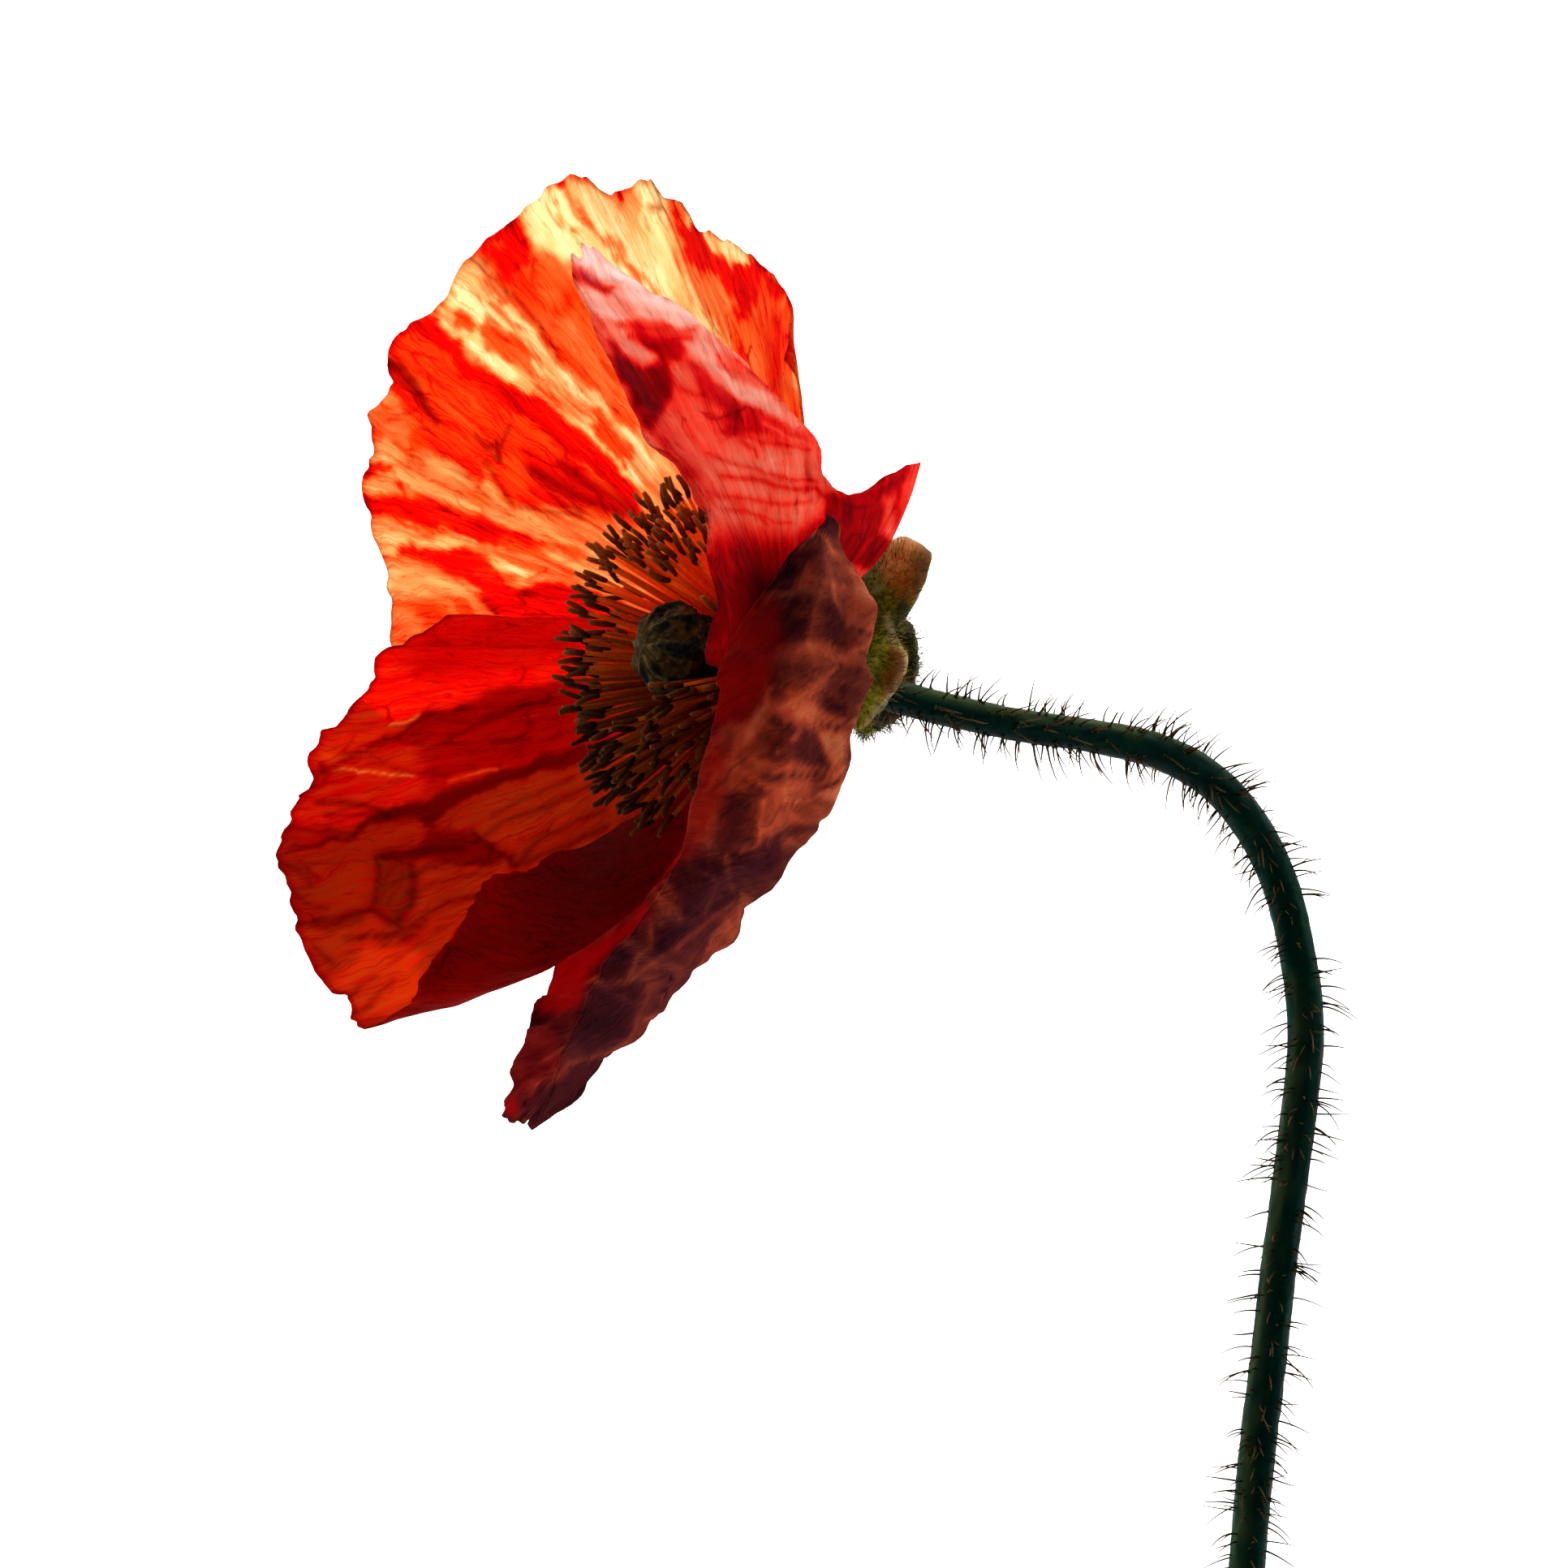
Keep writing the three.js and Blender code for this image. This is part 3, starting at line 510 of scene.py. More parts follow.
def form_far_upper(sheet):
    def nick(s):
        ragged = waves(s, s, (0.012, 26, 1, 11), (0.007, 90, 1, 12))
        torn = 0.012 * bump(0.16, 0.035, s) * (0.5 + noise(s * 120, s, 13))
        return 0.002 + ragged + torn + 0.01 * bump(0.69, 0.02, s)

    def fine(s, t):
        pleat = waves(s, t, (0.10, 70, 4, 14), (0.05, 150, 7, 15))
        crumple = 0.45 * facets(s * 15 + t * 3, t * 6, 16) * smooth(0.35, 0.7, t)
        curl = 0.7 * noise(s * 22, t * 2, 17) * smooth(0.93, 1, t)
        relief = (pleat + crumple + curl) * smooth(0.1, 0.35, t)
        return relief - 0.5 * furrows(*sheet.seen(21), FAR_UPPER_CREASES)

    sheet.form(nick, fine)


def far_upper():
    sheet = FAR_UPPER
    form_far_upper(sheet)
    s, t = sheet.wavering(21), sheet.t + 0.02 * noise(sheet.s * 60, sheet.t * 3, 23)
    x, y = sheet.seen(21, 0.75)
    tone = 0.34 + 0.08 * noise(s * 20, t * 8, 26)
    tone = washed(tone, patch, x, y, FAR_UPPER_FIELDS)
    tone = washed(tone, stroke, x, y, FAR_UPPER_LINES)
    streak = waves(s, t, (1, 85, 4, 24), (0.6, 170, 7, 25))
    tone = tone + streak * mix(0.16, 0.03, smooth(0.2, 0.7, tone))
    tone = tone + 0.16 * ridges(s * 50, t * 3, 28) * (1 - smooth(0.45, 0.65, tone))
    # towards the claw the petal thickens and reddens
    tone = wash(tone, 0.78, 1 - smooth(0.15, 0.4, t))
    # painted shade and light from the fine relief: darker and letting less light through on its ridges,
    # darker where it tips, a little paler in its valleys
    ridge, valley = sheet.folds()
    tone = tone + 0.12 * ridge - 0.06 * valley + 0.15 * sheet.slant()
    tone = tone + 0.2 * smooth(0.985, 1, sheet.t) * (0.4 + noise(sheet.s * 40, sheet.t, 27))
    # painted shade along the creases: redder, browner and letting less light through
    dark = strongest(stroke, *sheet.seen(21, 0.0, 0.4), FAR_UPPER_CREASES)
    tone = tone + 0.25 * dark
    shade = (1 - 0.25 * ridge) * (1 - 0.45 * dark)
    paint = petal_paint(tone, shade, 0.45 * dark)
    sheet.piece("far_upper_petal", "petal_far_upper", "petal_orange", streaked_look(), paint)


# ---- far lower petal: red above a dark fold, amber and crumpled below it, its margin folded over ----
FAR_LOWER = Sheet(
    INNER, 84, 180,
    rim=[
        (-28.5, 4, -17.5), (-32.5, 2.5, -18), (-34.6, 1, -18.5), (-36, -1.3, -19.5), (-36.9, -3.4, -20),
        (-39.6, -5, -21), (-41, -8.6, -21), (-40.9, -11.4, -21), (-42, -14.2, -21), (-44, -16.5, -20.5),
        (-42.6, -19.5, -20), (-41.4, -23, -20), (-39.4, -27, -19.5), (-37, -29.5, -18.5), (-36, -31, -17.5),
        (-34, -31, -16), (-32, -29.5, -14.5), (-30.5, -27, -13.5), (-28.5, -24, -13),
        (-26.5, -21, -12.5), (-25, -18.5, -12), (-22, -17.5, -11.5), (-19, -16.5, -11),
        (-16.5, -15.5, -10), (-14, -14, -8.5),
    ],
    middle=[
        (-15, 4, -17), (-17.5, -2, -20.5), (-20, -8, -22.7), (-19, -16.5, -20.5), (-15, -22.5, -12.5),
        (-12, -19.5, -7.5), (-8, -10, -2.5),
    ],
    relief=lambda s, t: (1 - smooth(0.55, 0.62, s)) * (
        1.3 * bump(0.33, 0.035, s) * smooth(0.25, 0.7, t)
        + 0.5 * np.sin(2 * math.pi * (6 * s - 0.5 * t)) * smooth(0.2, 1, t)
        + 0.7 * np.sin(11 * s + 9 * t) * np.sin(7 * t + 1) * smooth(0.4, 0.9, t)
    ),
    rows=190, columns=230, rests=True,
)


# marks as on the far upper petal, with the light let through (0 none, 1 all) after the tone
FAR_LOWER_FIELDS = [
    (0.7, 1.00, 0.3, [(-36, 0.4), (-30, 4.4), (-24, 5), (-14, 4), (-14, -1.2), (-24, -2), (-28, -3.6),
        (-33, -4.6), (-36, -3)]),
    (0.76, 0.60, 0.4, [(-14, -1), (-19, -1), (-24, -2), (-28, -3.6), (-31, -4.2), (-32.2, -5.6), (-28, -6),
        (-14, -7)]),
    (0.645, 0.74, 0.15, [(-40, -6), (-36, -3.4), (-34.6, -3.4), (-33, -4.7), (-32.2, -5.2), (-32.6, -5.9),
        (-35, -6.6), (-37.4, -7.8), (-41, -9.6)]),
    (0.67, 0.72, 0.2, [(-41.4, -9.6), (-37.5, -7.9), (-34.6, -6.5), (-31, -6.2), (-28, -7), (-28, -9.4),
        (-33, -12.3), (-36, -14), (-43, -14.4)]),
    (0.74, 0.60, 0.8, [(-31, -6.2), (-26, -6.2), (-14, -6.4), (-14, -8), (-23, -8.6), (-27, -9.7),
        (-30, -10.6)]),
    (0.69, 0.60, 0.3, [(-44, -14.2), (-38.5, -14), (-37, -14.6), (-41, -15.4), (-44, -16)]),
    # below the fold
    (0.62, 0.62, 0.3, [(-45, -16.2), (-40, -15.2), (-35, -13.3), (-31, -11.6), (-27, -9.8), (-23, -8.6),
        (-14, -6.6), (-8, -10), (-12, -20), (-24, -20), (-34, -20.6), (-37, -20.8), (-42, -22.6)]),
    (0.59, 0.62, 0.6, [(-26, -11.4), (-20, -9.4), (-12, -8), (-12, -18), (-18, -17), (-22.4, -16.8),
        (-25.6, -14)]),
    (0.76, 0.48, 0.4, [(-30, -14.2), (-26.4, -14), (-24.4, -15.6), (-22.2, -17), (-27, -16.9),
        (-30.6, -16.8), (-34, -16.4), (-31, -15.4)]),
    (0.58, 0.50, 0.15, [(-34.3, -17.2), (-33.6, -16.7), (-31.8, -16.7), (-31, -18), (-31.2, -20),
        (-32.2, -22.2), (-34.6, -20.8)]),
    (0.6, 0.64, 0.3, [(-31, -17.4), (-23, -17.2), (-25, -19.7), (-29, -20.6), (-31.2, -21.6)]),
    (0.61, 0.68, 0.4, [(-43, -22.4), (-36, -21.2), (-32.4, -22.4), (-29, -20.8), (-24, -19.6), (-26, -26),
        (-31, -30), (-38, -34), (-44, -28)]),
    (0.59, 0.86, 0.9, [(-38, -27), (-35, -23.6), (-31, -24), (-30, -27.5), (-33, -30.5), (-36.5, -30)]),
    # the painted shadow of the fold: a dark band just under it, letting little light through
    (0.78, 0.42, 0.25, [(-42, -15.8), (-40, -15.2), (-37.5, -14.6), (-35, -13.2), (-31, -11.6),
        (-27, -9.8), (-23, -8.6), (-19, -7.4), (-14, -6.4), (-14, -7.6), (-19, -8.7), (-22, -9.6),
        (-25, -10.7), (-28, -12.2), (-30, -14.4), (-31.2, -13), (-35, -13.9), (-39, -15.6)]),
]
# the tones of lines, and the creases, as on the far upper petal
FAR_LOWER_LINES = [
    (0.05, 0.11, [(-33.2, -4.8), (-31.8, -4.6), (-30.8, -4.1)]),
    (0.08, 0.10, [(-38.2, -8.6), (-36.4, -8.8), (-36, -9), (-34, -9), (-31, -9.4)]),
    (0.40, 0.12, [(-28.2, -9.8), (-27, -9.3), (-24, -8.8)]),
    (0.50, 0.2, [(-39, -7.6), (-38, -7.6)]),
]
FAR_LOWER_CREASES = [
    (0.55, 0.18, [(-41, -9.6), (-37, -8), (-34.6, -6.5), (-32.4, -6), (-31.4, -4.9), (-30.4, -4.1),
        (-27, -3.4)]),
    (0.30, 0.14, [(-30.5, 3.2), (-29.4, 2.6), (-28.2, 2)]),
    (0.35, 0.18, [(-28.2, -6.3), (-26, -4.9), (-24.4, -4), (-19.6, -2.8)]),
    (0.35, 0.14, [(-34, -6.2), (-30, -6.6), (-26, -6.5), (-21, -6.2)]),
    (0.30, 0.14, [(-35.4, -7.2), (-33, -8.6), (-31, -9.1), (-28, -9.3)]),
    (0.60, 0.24, [(-39.4, -11.6), (-37, -11.6), (-35.6, -11.9), (-33.4, -12.9)]),
    (0.45, 0.16, [(-38.8, -12.7), (-36.4, -12.7), (-34.4, -12.9)]),
    (0.45, 0.16, [(-42, -13.9), (-39, -14.2), (-36.2, -14.3)]),
    (0.35, 0.25, [(-43, -16.8), (-41.4, -17.4), (-40, -18.6)]),
    (0.55, 0.2, [(-34.3, -16.3), (-34.2, -18), (-34.7, -20.8)]),
    (0.50, 0.35, [(-34.2, -16.4), (-33, -16), (-30.6, -15.9), (-27, -15.6)]),
    (0.65, 0.25, [(-40, -22), (-36.4, -21.3), (-34.8, -20.9), (-33, -22), (-32, -22.5)]),
    (0.45, 0.35, [(-41.6, -22), (-38.6, -22.3), (-35.8, -21.7)]),
    (0.55, 0.24, [(-37, -23.4), (-34, -23.1), (-32, -22.9), (-30.2, -21.6), (-28.4, -20.4),
        (-25.4, -19.7)]),
    (0.40, 0.2, [(-33.8, -24), (-31.6, -23.3), (-30, -22)]),
    (0.50, 0.35, [(-32.6, -22), (-31.4, -20.6), (-31, -18.8), (-31.4, -17.2)]),
    (0.35, 0.14, [(-34, -18.8), (-33.2, -17.6), (-32.8, -17)]),
    (0.30, 0.12, [(-33.4, -20.6), (-32.4, -18.8), (-32, -17.4)]),
    (0.55, 0.18, [(-26.2, -14), (-24.4, -15.7), (-22.4, -17)]),
    (0.45, 0.2, [(-25, -14.4), (-23, -13.1), (-20, -12.1), (-17, -10.8), (-14.6, -9.4)]),
    (0.50, 0.2, [(-22, -16.8), (-20, -14.7), (-17, -13.4), (-14.6, -12.4)]),
    (0.55, 0.24, [(-22.6, -17.2), (-19.6, -16.1), (-17.6, -15.4), (-14.6, -13.9)]),
    (0.35, 0.15, [(-24.4, -12.7), (-20.8, -11.1), (-17.4, -9.4)]),
    (0.45, 0.18, [(-31, -17.7), (-28, -16.8), (-23.8, -17)]),
    (0.30, 0.2, [(-30.6, -19), (-27, -18), (-24.4, -17.8)]),
    (0.40, 0.3, [(-39.8, -24.2), (-38.2, -25.4)]),
    (0.40, 0.22, [(-37.2, -28.8), (-35.6, -27.4), (-34.4, -26.8)]),
    (0.35, 0.2, [(-35.6, -29.6), (-34, -28.1), (-33, -27)]),
    (0.35, 0.2, [(-41.8, -19.4), (-40, -20.6), (-38.6, -20.8)]),
]
# lighter lines over the folded margin: (strength, half-width in mm, places)
FLAP_LINES = [
    (0.6, 0.3, [(-31, -28.2), (-28.4, -27.3), (-26, -27.6)]),
    (0.8, 0.35, [(-32.6, -29.4), (-29.4, -28.3), (-27, -28.6), (-25, -28)]),
    (0.5, 0.25, [(-30, -29.6), (-27.6, -29.2)]),
]
# all that lies below the fold, which is browner
BELOW_FOLD = [
    (-45, -14.8), (-40, -14.8), (-31, -11.6), (-23, -8.6), (-14, -6.6), (-8, -10), (-12, -20), (-24, -20),
    (-31, -30), (-38, -34), (-46, -28),
]


def form_far_lower(sheet):
    def nick(s):
        return waves(s, s, (0.012, 30, 1, 31), (0.008, 110, 1, 32)) + 0.012 * bump(0.12, 0.03, s)

    def fine(s, t):
        flap = smooth(0.6, 0.68, s)
        pleat = waves(s, t, (0.10, 70, 4, 34), (0.05, 150, 7, 35))
        crumple = 0.5 * facets(s * 15 - t * 2, t * 7, 36) + 0.2 * facets(s * 34, t * 15, 37)
        crumple = crumple * smooth(0.3, 0.6, t) * smooth(0.12, 0.3, s) * (1 - 0.7 * flap)
        curl = 0.6 * noise(s * 24, t * 2, 38) * smooth(0.93, 1, t)
        relief = (pleat + crumple + curl) * smooth(0.1, 0.35, t)
        return relief - 0.6 * furrows(*sheet.seen(41), FAR_LOWER_CREASES) * (1 - flap)

    sheet.form(nick, fine)


def far_lower():
    sheet = FAR_LOWER
    form_far_lower(sheet)
    s, t = sheet.wavering(41), sheet.t
    flap = smooth(0.61, 0.65, s)
    tone, shade = 0.66 - 0.04 * noise(s * 12, t * 5, 46), 0.65 * np.ones(s.shape)
    x, y = sheet.seen(41, 0.5)
    for level, light, soft, corners in FAR_LOWER_FIELDS:
        mask = patch(x, y, soft, corners)
        tone, shade = wash(tone, level, mask), wash(shade, light, mask)
    x, y = sheet.seen(41, 0.0, 0.4)
    for level, width, route in FAR_LOWER_LINES:
        mask = 0.7 * stroke(x, y, width, route)
        tone, shade = wash(tone, level, mask), wash(shade, 0.9, mask)
    # painted shade along the creases: redder, browner and letting less light through
    dark = strongest(stroke, x, y, FAR_LOWER_CREASES) * (1 - flap)
    # painted shade and light from the fine relief: darker and letting less light through on its ridges,
    # darker where it tips, a little paler in its valleys
    ridge, valley = sheet.folds()
    streak = waves(s, t, (1, 85, 4, 44), (0.6, 170, 7, 45))
    tone = tone + 0.025 * streak + 0.1 * ridge - 0.05 * valley
    tone = tone + 0.15 * sheet.slant() + 0.14 * dark
    tone = wash(tone, 0.85, 1 - smooth(0.12, 0.3, t))
    tone = tone + 0.12 * smooth(0.985, 1, t)
    shade = shade * (1 - 0.25 * ridge) * (1 - 0.5 * dark)
    lit = strongest(stroke, x, y, FLAP_LINES)
    tone, shade = wash(tone, 0.8 - 0.1 * lit, flap), wash(shade, 0.78 + 0.2 * lit, flap)
    # the wash share: browner in the painted crease shade and below the fold, and along the lighter lines of
    # the flap
    brown = 0.35 * dark + 0.22 * patch(x, y, 0.5, BELOW_FOLD) * (1 - flap) + 0.3 * lit * flap
    paint = petal_paint(tone, shade, brown)
    sheet.piece("far_lower_petal", "petal_far_lower", "petal_orange", crumpled_look(), paint)


# ---- near upper petal: pinkish, folded, with a pale tip and a curled lobe behind ----
NEAR_UPPER = Sheet(
    INNER, 340, 262,
    rim=[
        (12.4, 17.7, 5.5), (9.5, 16.2, 7), (6.5, 14.5, 8.5), (4.5, 16, 9.5), (3, 19.5, 10.5),
        (-0.5, 23.5, 12), (-5, 28, 13.5), (-10, 31.5, 16), (-16.5, 35.5, 18), (-15.5, 28.5, 19.5),
        (-11, 20.5, 21), (-6.3, 14, 20.5), (-5.8, 0, 18),
    ],
    middle=[
        (8.3, 8.5, 4), (5.8, 10, 7), (3, 11, 9), (0, 13, 11), (-4, 14, 14), (-3.5, 10, 15.5),
        (-2, -1, 11.5),
    ],
    relief=lambda s, t: 0.4 * np.sin(2 * math.pi * (5 * s + t)) * smooth(0.3, 1, t) * smooth(0.2, 0.35, s),
    rows=140, columns=175,
)


# marks: (tone, softness in mm, corners), tone 0 pale pink, 0.5 red, 1 wine
NEAR_UPPER_FIELDS = [
    (0.47, 0.8, [(-10, 21), (-6.4, 20.5), (-6.1, 9.5), (-7, 9), (-9.8, 17)]),
    (0.29, 1.2, [(-5.4, 18), (-2, 19), (3.4, 18.6), (5.2, 14.4), (2.4, 11.8), (-4, 12.2)]),
    (0.02, 0.3, [(-17.7, 35.6), (-16, 36.8), (-14.2, 34.8), (-9.3, 32.2), (-9.2, 31.4), (-5.5, 29.1),
        (-8, 28.8), (-12, 29.7), (-15.6, 30), (-17.2, 31.2), (-17, 33)]),
    (0.14, 0.5, [(-16.6, 32.8), (-14, 31.4), (-10.6, 30.2), (-14, 30), (-16.6, 31)]),
    (0.64, 0.2, [(-17.3, 34.5), (-15.6, 33.9), (-14, 32.4), (-14.4, 31.8), (-16, 32.5), (-17.8, 33.2)]),
    (0.56, 0.3, [(-14.2, 29.6), (-10, 29.4), (-5.8, 28.9), (-7, 28), (-12.5, 28.1), (-13.8, 28.8)]),
    # painted shade: the dark maroon patches near the left edge
    (0.92, 0.4, [(-12.2, 28.1), (-8, 28.1), (-7.2, 27), (-8.4, 25.9), (-10.5, 25.9), (-11.6, 26.8)]),
    (0.95, 0.35, [(-14.6, 28), (-13.1, 26.7), (-11.6, 25.8), (-9.3, 25.8), (-8.9, 24), (-9.5, 21.8),
        (-10.6, 20.2), (-12.4, 21.6), (-13, 24), (-14.2, 26.4)]),
    (0.20, 0.35, [(-15, 29.9), (-12.9, 28.9), (-10.4, 26.2), (-11.5, 25.8), (-13.3, 26.9), (-14.6, 28.3)]),
    (0.74, 0.6, [(-7.5, 26), (-5, 24.6), (0, 21.1), (3, 19.1), (0, 19.5), (-4.3, 19.7), (-4.9, 21.6),
        (-6.5, 23.4)]),
    (0.86, 0.4, [(-5.6, 23.4), (-3.6, 22.4), (-3.1, 20), (-4.1, 19.7)]),
    (0.20, 0.35, [(-7.8, 28), (-5.8, 29.1), (-3.5, 27.7), (-2.2, 26), (-0.3, 23.4), (2.4, 20.3),
        (-1, 21.5), (-5, 24.1), (-7, 26.1)]),
    (0.05, 0.5, [(-2.4, 24), (-1, 23.9), (0.4, 22.4), (-1.2, 22.2)]),
    (0.40, 0.3, [(-4.8, 26.8), (-3, 26.2), (-0.3, 23.5), (-3.6, 24.8)]),
    (0.86, 1.4, [(-6.6, 9.8), (-3, 11), (1.5, 11.2), (4, 12), (4, 6), (0, 0), (-7, 0)]),
    (1.0, 1.0, [(-6.4, 6.6), (-3, 7.6), (1, 7), (2, -2), (-7, -2)]),
    (0.90, 0.5, [(4.4, 14.6), (8, 15.9), (11.4, 17.8), (10.6, 13), (10, 8.5), (3.6, 9)]),
    (0.45, 0.5, [(9.1, 14.4), (10.2, 15.2), (10.2, 12.5), (10.4, 10.6), (9, 11.3), (9, 13)]),
]
# creases here are light or dark, as painted highlights on their ridges and painted shade in their folds:
# (tone, half-width in mm, places)
NEAR_UPPER_CREASES = [
    (0.74, 0.25, [(-12.4, 33.3), (-10.6, 32.7), (-9.4, 32.1), (-9.3, 31.6)]),
    (0.10, 0.3, [(-10.4, 30.4), (-8.8, 30.2), (-7.4, 29.8)]),
    (0.80, 0.25, [(-12.6, 28.3), (-9.5, 28.1), (-7.2, 28)]),
    (0.70, 0.18, [(-13.6, 29.2), (-11.5, 29), (-9, 29.1)]),
    (0.02, 0.35, [(-6.2, 29), (-4.3, 28.1), (-2.9, 27), (-2.3, 25.9)]),
    (0.78, 0.14, [(-5, 26.4), (-4.4, 25.4), (-3.7, 24.6)]),
    (0.72, 0.14, [(-3.3, 26.3), (-1.7, 24.7), (-0.3, 23.5)]),
    (0.12, 0.35, [(-6.8, 27), (-5, 25), (-2.6, 23), (0, 21.9), (1.7, 20.5)]),
    (0.40, 0.3, [(-8.8, 25), (-7.4, 24.6), (-6.6, 23.4)]),
    (0.70, 0.2, [(-8.4, 23.6), (-6.8, 23.2), (-5.6, 23.3)]),
    (0.70, 0.24, [(-5.9, 21.6), (-3, 20.4), (-0.8, 20.2)]),
    (0.68, 0.2, [(-3.8, 20), (-1, 19.1), (1.2, 18.9), (3, 18.7)]),
    (0.70, 0.22, [(-2.9, 19.1), (-1.8, 18.6), (-1.6, 17.9)]),
    (0.66, 0.2, [(-6, 18.4), (-4, 17.4), (-1, 16.4), (1.8, 16), (3.6, 15.8)]),
    (0.74, 0.28, [(-4.5, 16.2), (-1, 15.7), (1.5, 15.1), (3.4, 15.2), (4.8, 14.3)]),
    (0.60, 0.2, [(-5.6, 14.7), (-2, 14.2), (1, 14), (3, 14.2)]),
    (0.62, 0.18, [(-4.2, 13.4), (-1.8, 13.2), (0, 12.5), (1.4, 12.4)]),
    (0.64, 0.18, [(-2.6, 13.7), (-1.6, 12.9), (-0.6, 12.2)]),
    (0.35, 0.2, [(-1, 20.7), (1.2, 19.6), (3.1, 19)]),
    (0.27, 0.22, [(-4, 18.1), (-1, 17.2), (2, 16.9), (4, 16.3)]),
    (0.30, 0.2, [(-5, 15.6), (-1, 15), (1.2, 14.5), (3.4, 14.6)]),
    (0.32, 0.2, [(-5, 13.9), (-2.4, 13.7), (0.8, 13.2), (3, 13.5)]),
    (0.70, 0.4, [(-9.4, 18.9), (-8.6, 17), (-7.2, 16.2)]),
    (0.72, 0.3, [(6, 14.6), (7.5, 15), (9.4, 15.8), (10.8, 17)]),
]
# painted highlights on the tip, washed near white: (strength, half-width or softness in mm, places)
NEAR_UPPER_HIGHLIGHT_LINES = [
    (1, 0.55, [(-16.1, 35.6), (-15.7, 35)]),
    (1, 0.5, [(-14.6, 34.1), (-12.8, 33.4), (-11.6, 32.8)]),
    (0.6, 0.6, [(-11.5, 31.9), (-9.5, 31.2), (-7.6, 30.2)]),
]
NEAR_UPPER_HIGHLIGHTS = [
    (0.35, 0.5, [(-17.7, 35.6), (-16, 36.8), (-14.2, 34.8), (-9.3, 32.2), (-16, 33)]),
]


def form_near_upper(sheet):
    def nick(s):
        torn = 0.03 * bump(0.68, 0.06, s) * noise(s * 95, s, 53)
        notch = 0.07 * bump(0.966, 0.01, s)
        return 0.002 + 0.01 * noise(s * 30, s, 51) + 0.006 * noise(s * 80, s, 52) + torn + notch

    def fine(s, t):
        pleat = waves(s, t, (0.12, 50, 5, 54), (0.05, 110, 7, 55))
        crumple = 0.55 * sheet.crumple(3.4, 1.3, 56) * smooth(0.35, 0.75, t) * smooth(0.2, 0.4, s)
        curl = 0.4 * noise(s * 20, t * 2, 57) * smooth(0.93, 1, t)
        return (pleat + crumple + curl) * smooth(0.1, 0.35, t)

    sheet.form(nick, fine)


def near_upper():
    sheet = NEAR_UPPER
    form_near_upper(sheet)
    s, t = sheet.s, sheet.t
    x, y = sheet.seen(61)
    tone = 0.44 + 0.05 * noise(x * 0.6, y * 0.6, 66)
    tone = washed(tone, patch, x, y, NEAR_UPPER_FIELDS, softer=1.1)
    x, y = sheet.seen(67, 0.0, 0.5)
    tone = washed(tone, stroke, x, y, NEAR_UPPER_CREASES, strength=0.9)
    tone = tone + 0.13 * ridges(s * 26, t * 3, 68) - 0.10 * ridges(s * 40, t * 4, 69)
    # painted shade and light from the fine relief: darker and letting less light through on its ridges,
    # paler in its valleys
    ridge, valley = sheet.folds()
    streak = waves(s, t, (1, 60, 4, 64), (0.6, 130, 7, 65))
    tone = tone + 0.05 * streak + 0.06 * ridge - 0.06 * valley
    # painted light: paler where the relief turns towards the upper left, darker where it turns away
    tone = tone - 0.25 * sheet.facing_light()
    shade = (1 - 0.25 * ridge) * mix(0.6, 1, smooth(0.2, 0.45, t))
    # painted highlights on the tip, washed near white
    white = strongest(stroke, x, y, NEAR_UPPER_HIGHLIGHT_LINES)
    white = np.maximum(white, strongest(patch, x, y, NEAR_UPPER_HIGHLIGHTS))
    paint = petal_paint(tone, shade, white)
    sheet.piece("near_upper_petal", "petal_near_upper", "petal_red", pink_look(), paint)


# ---- near lower petal: brownish and crumpled, with a net of painted highlights along its creases ----
NEAR_LOWER = Sheet(
    OUTER, 172, 276,
    rim=[
        (-12.5, -17, -21), (-16, -21.5, -21), (-18.7, -25.6, -19), (-20, -29.5, -15), (-21.5, -32.1, -11),
        (-22.7, -35.6, -6), (-23.5, -38.5, -3), (-22.5, -39, 0), (-21.2, -39.6, 3), (-19.4, -36.4, 9),
        (-16.3, -29.2, 14), (-13.5, -23.5, 17), (-9, -18.5, 20), (-7, -12.5, 22), (-5, -6, 23),
        (-4.5, 0.5, 22.5), (0, 7.5, 20.5),
    ],
    middle=[
        (-7.5, -13, -17), (-7.5, -17, -17.5), (-6.5, -20, -13), (-4, -21.9, -6), (-2.7, -19.8, 1),
        (0.6, -15.7, 8), (4.4, -11.4, 13), (7.2, 1, 16), (5.5, 12.5, 14.5),
    ],
    relief=lambda s, t: (
        0.9 * np.sin(13 * s + 6 * t) * np.sin(11 * t - 5 * s + 1) * smooth(0.15, 0.5, t) * smooth(0, 0.1, s)
        * (1 - 1.3 * smooth(0.6, 0.8, t) * bump(0.5, 0.12, s))
    ),
    rows=150, columns=190,
)
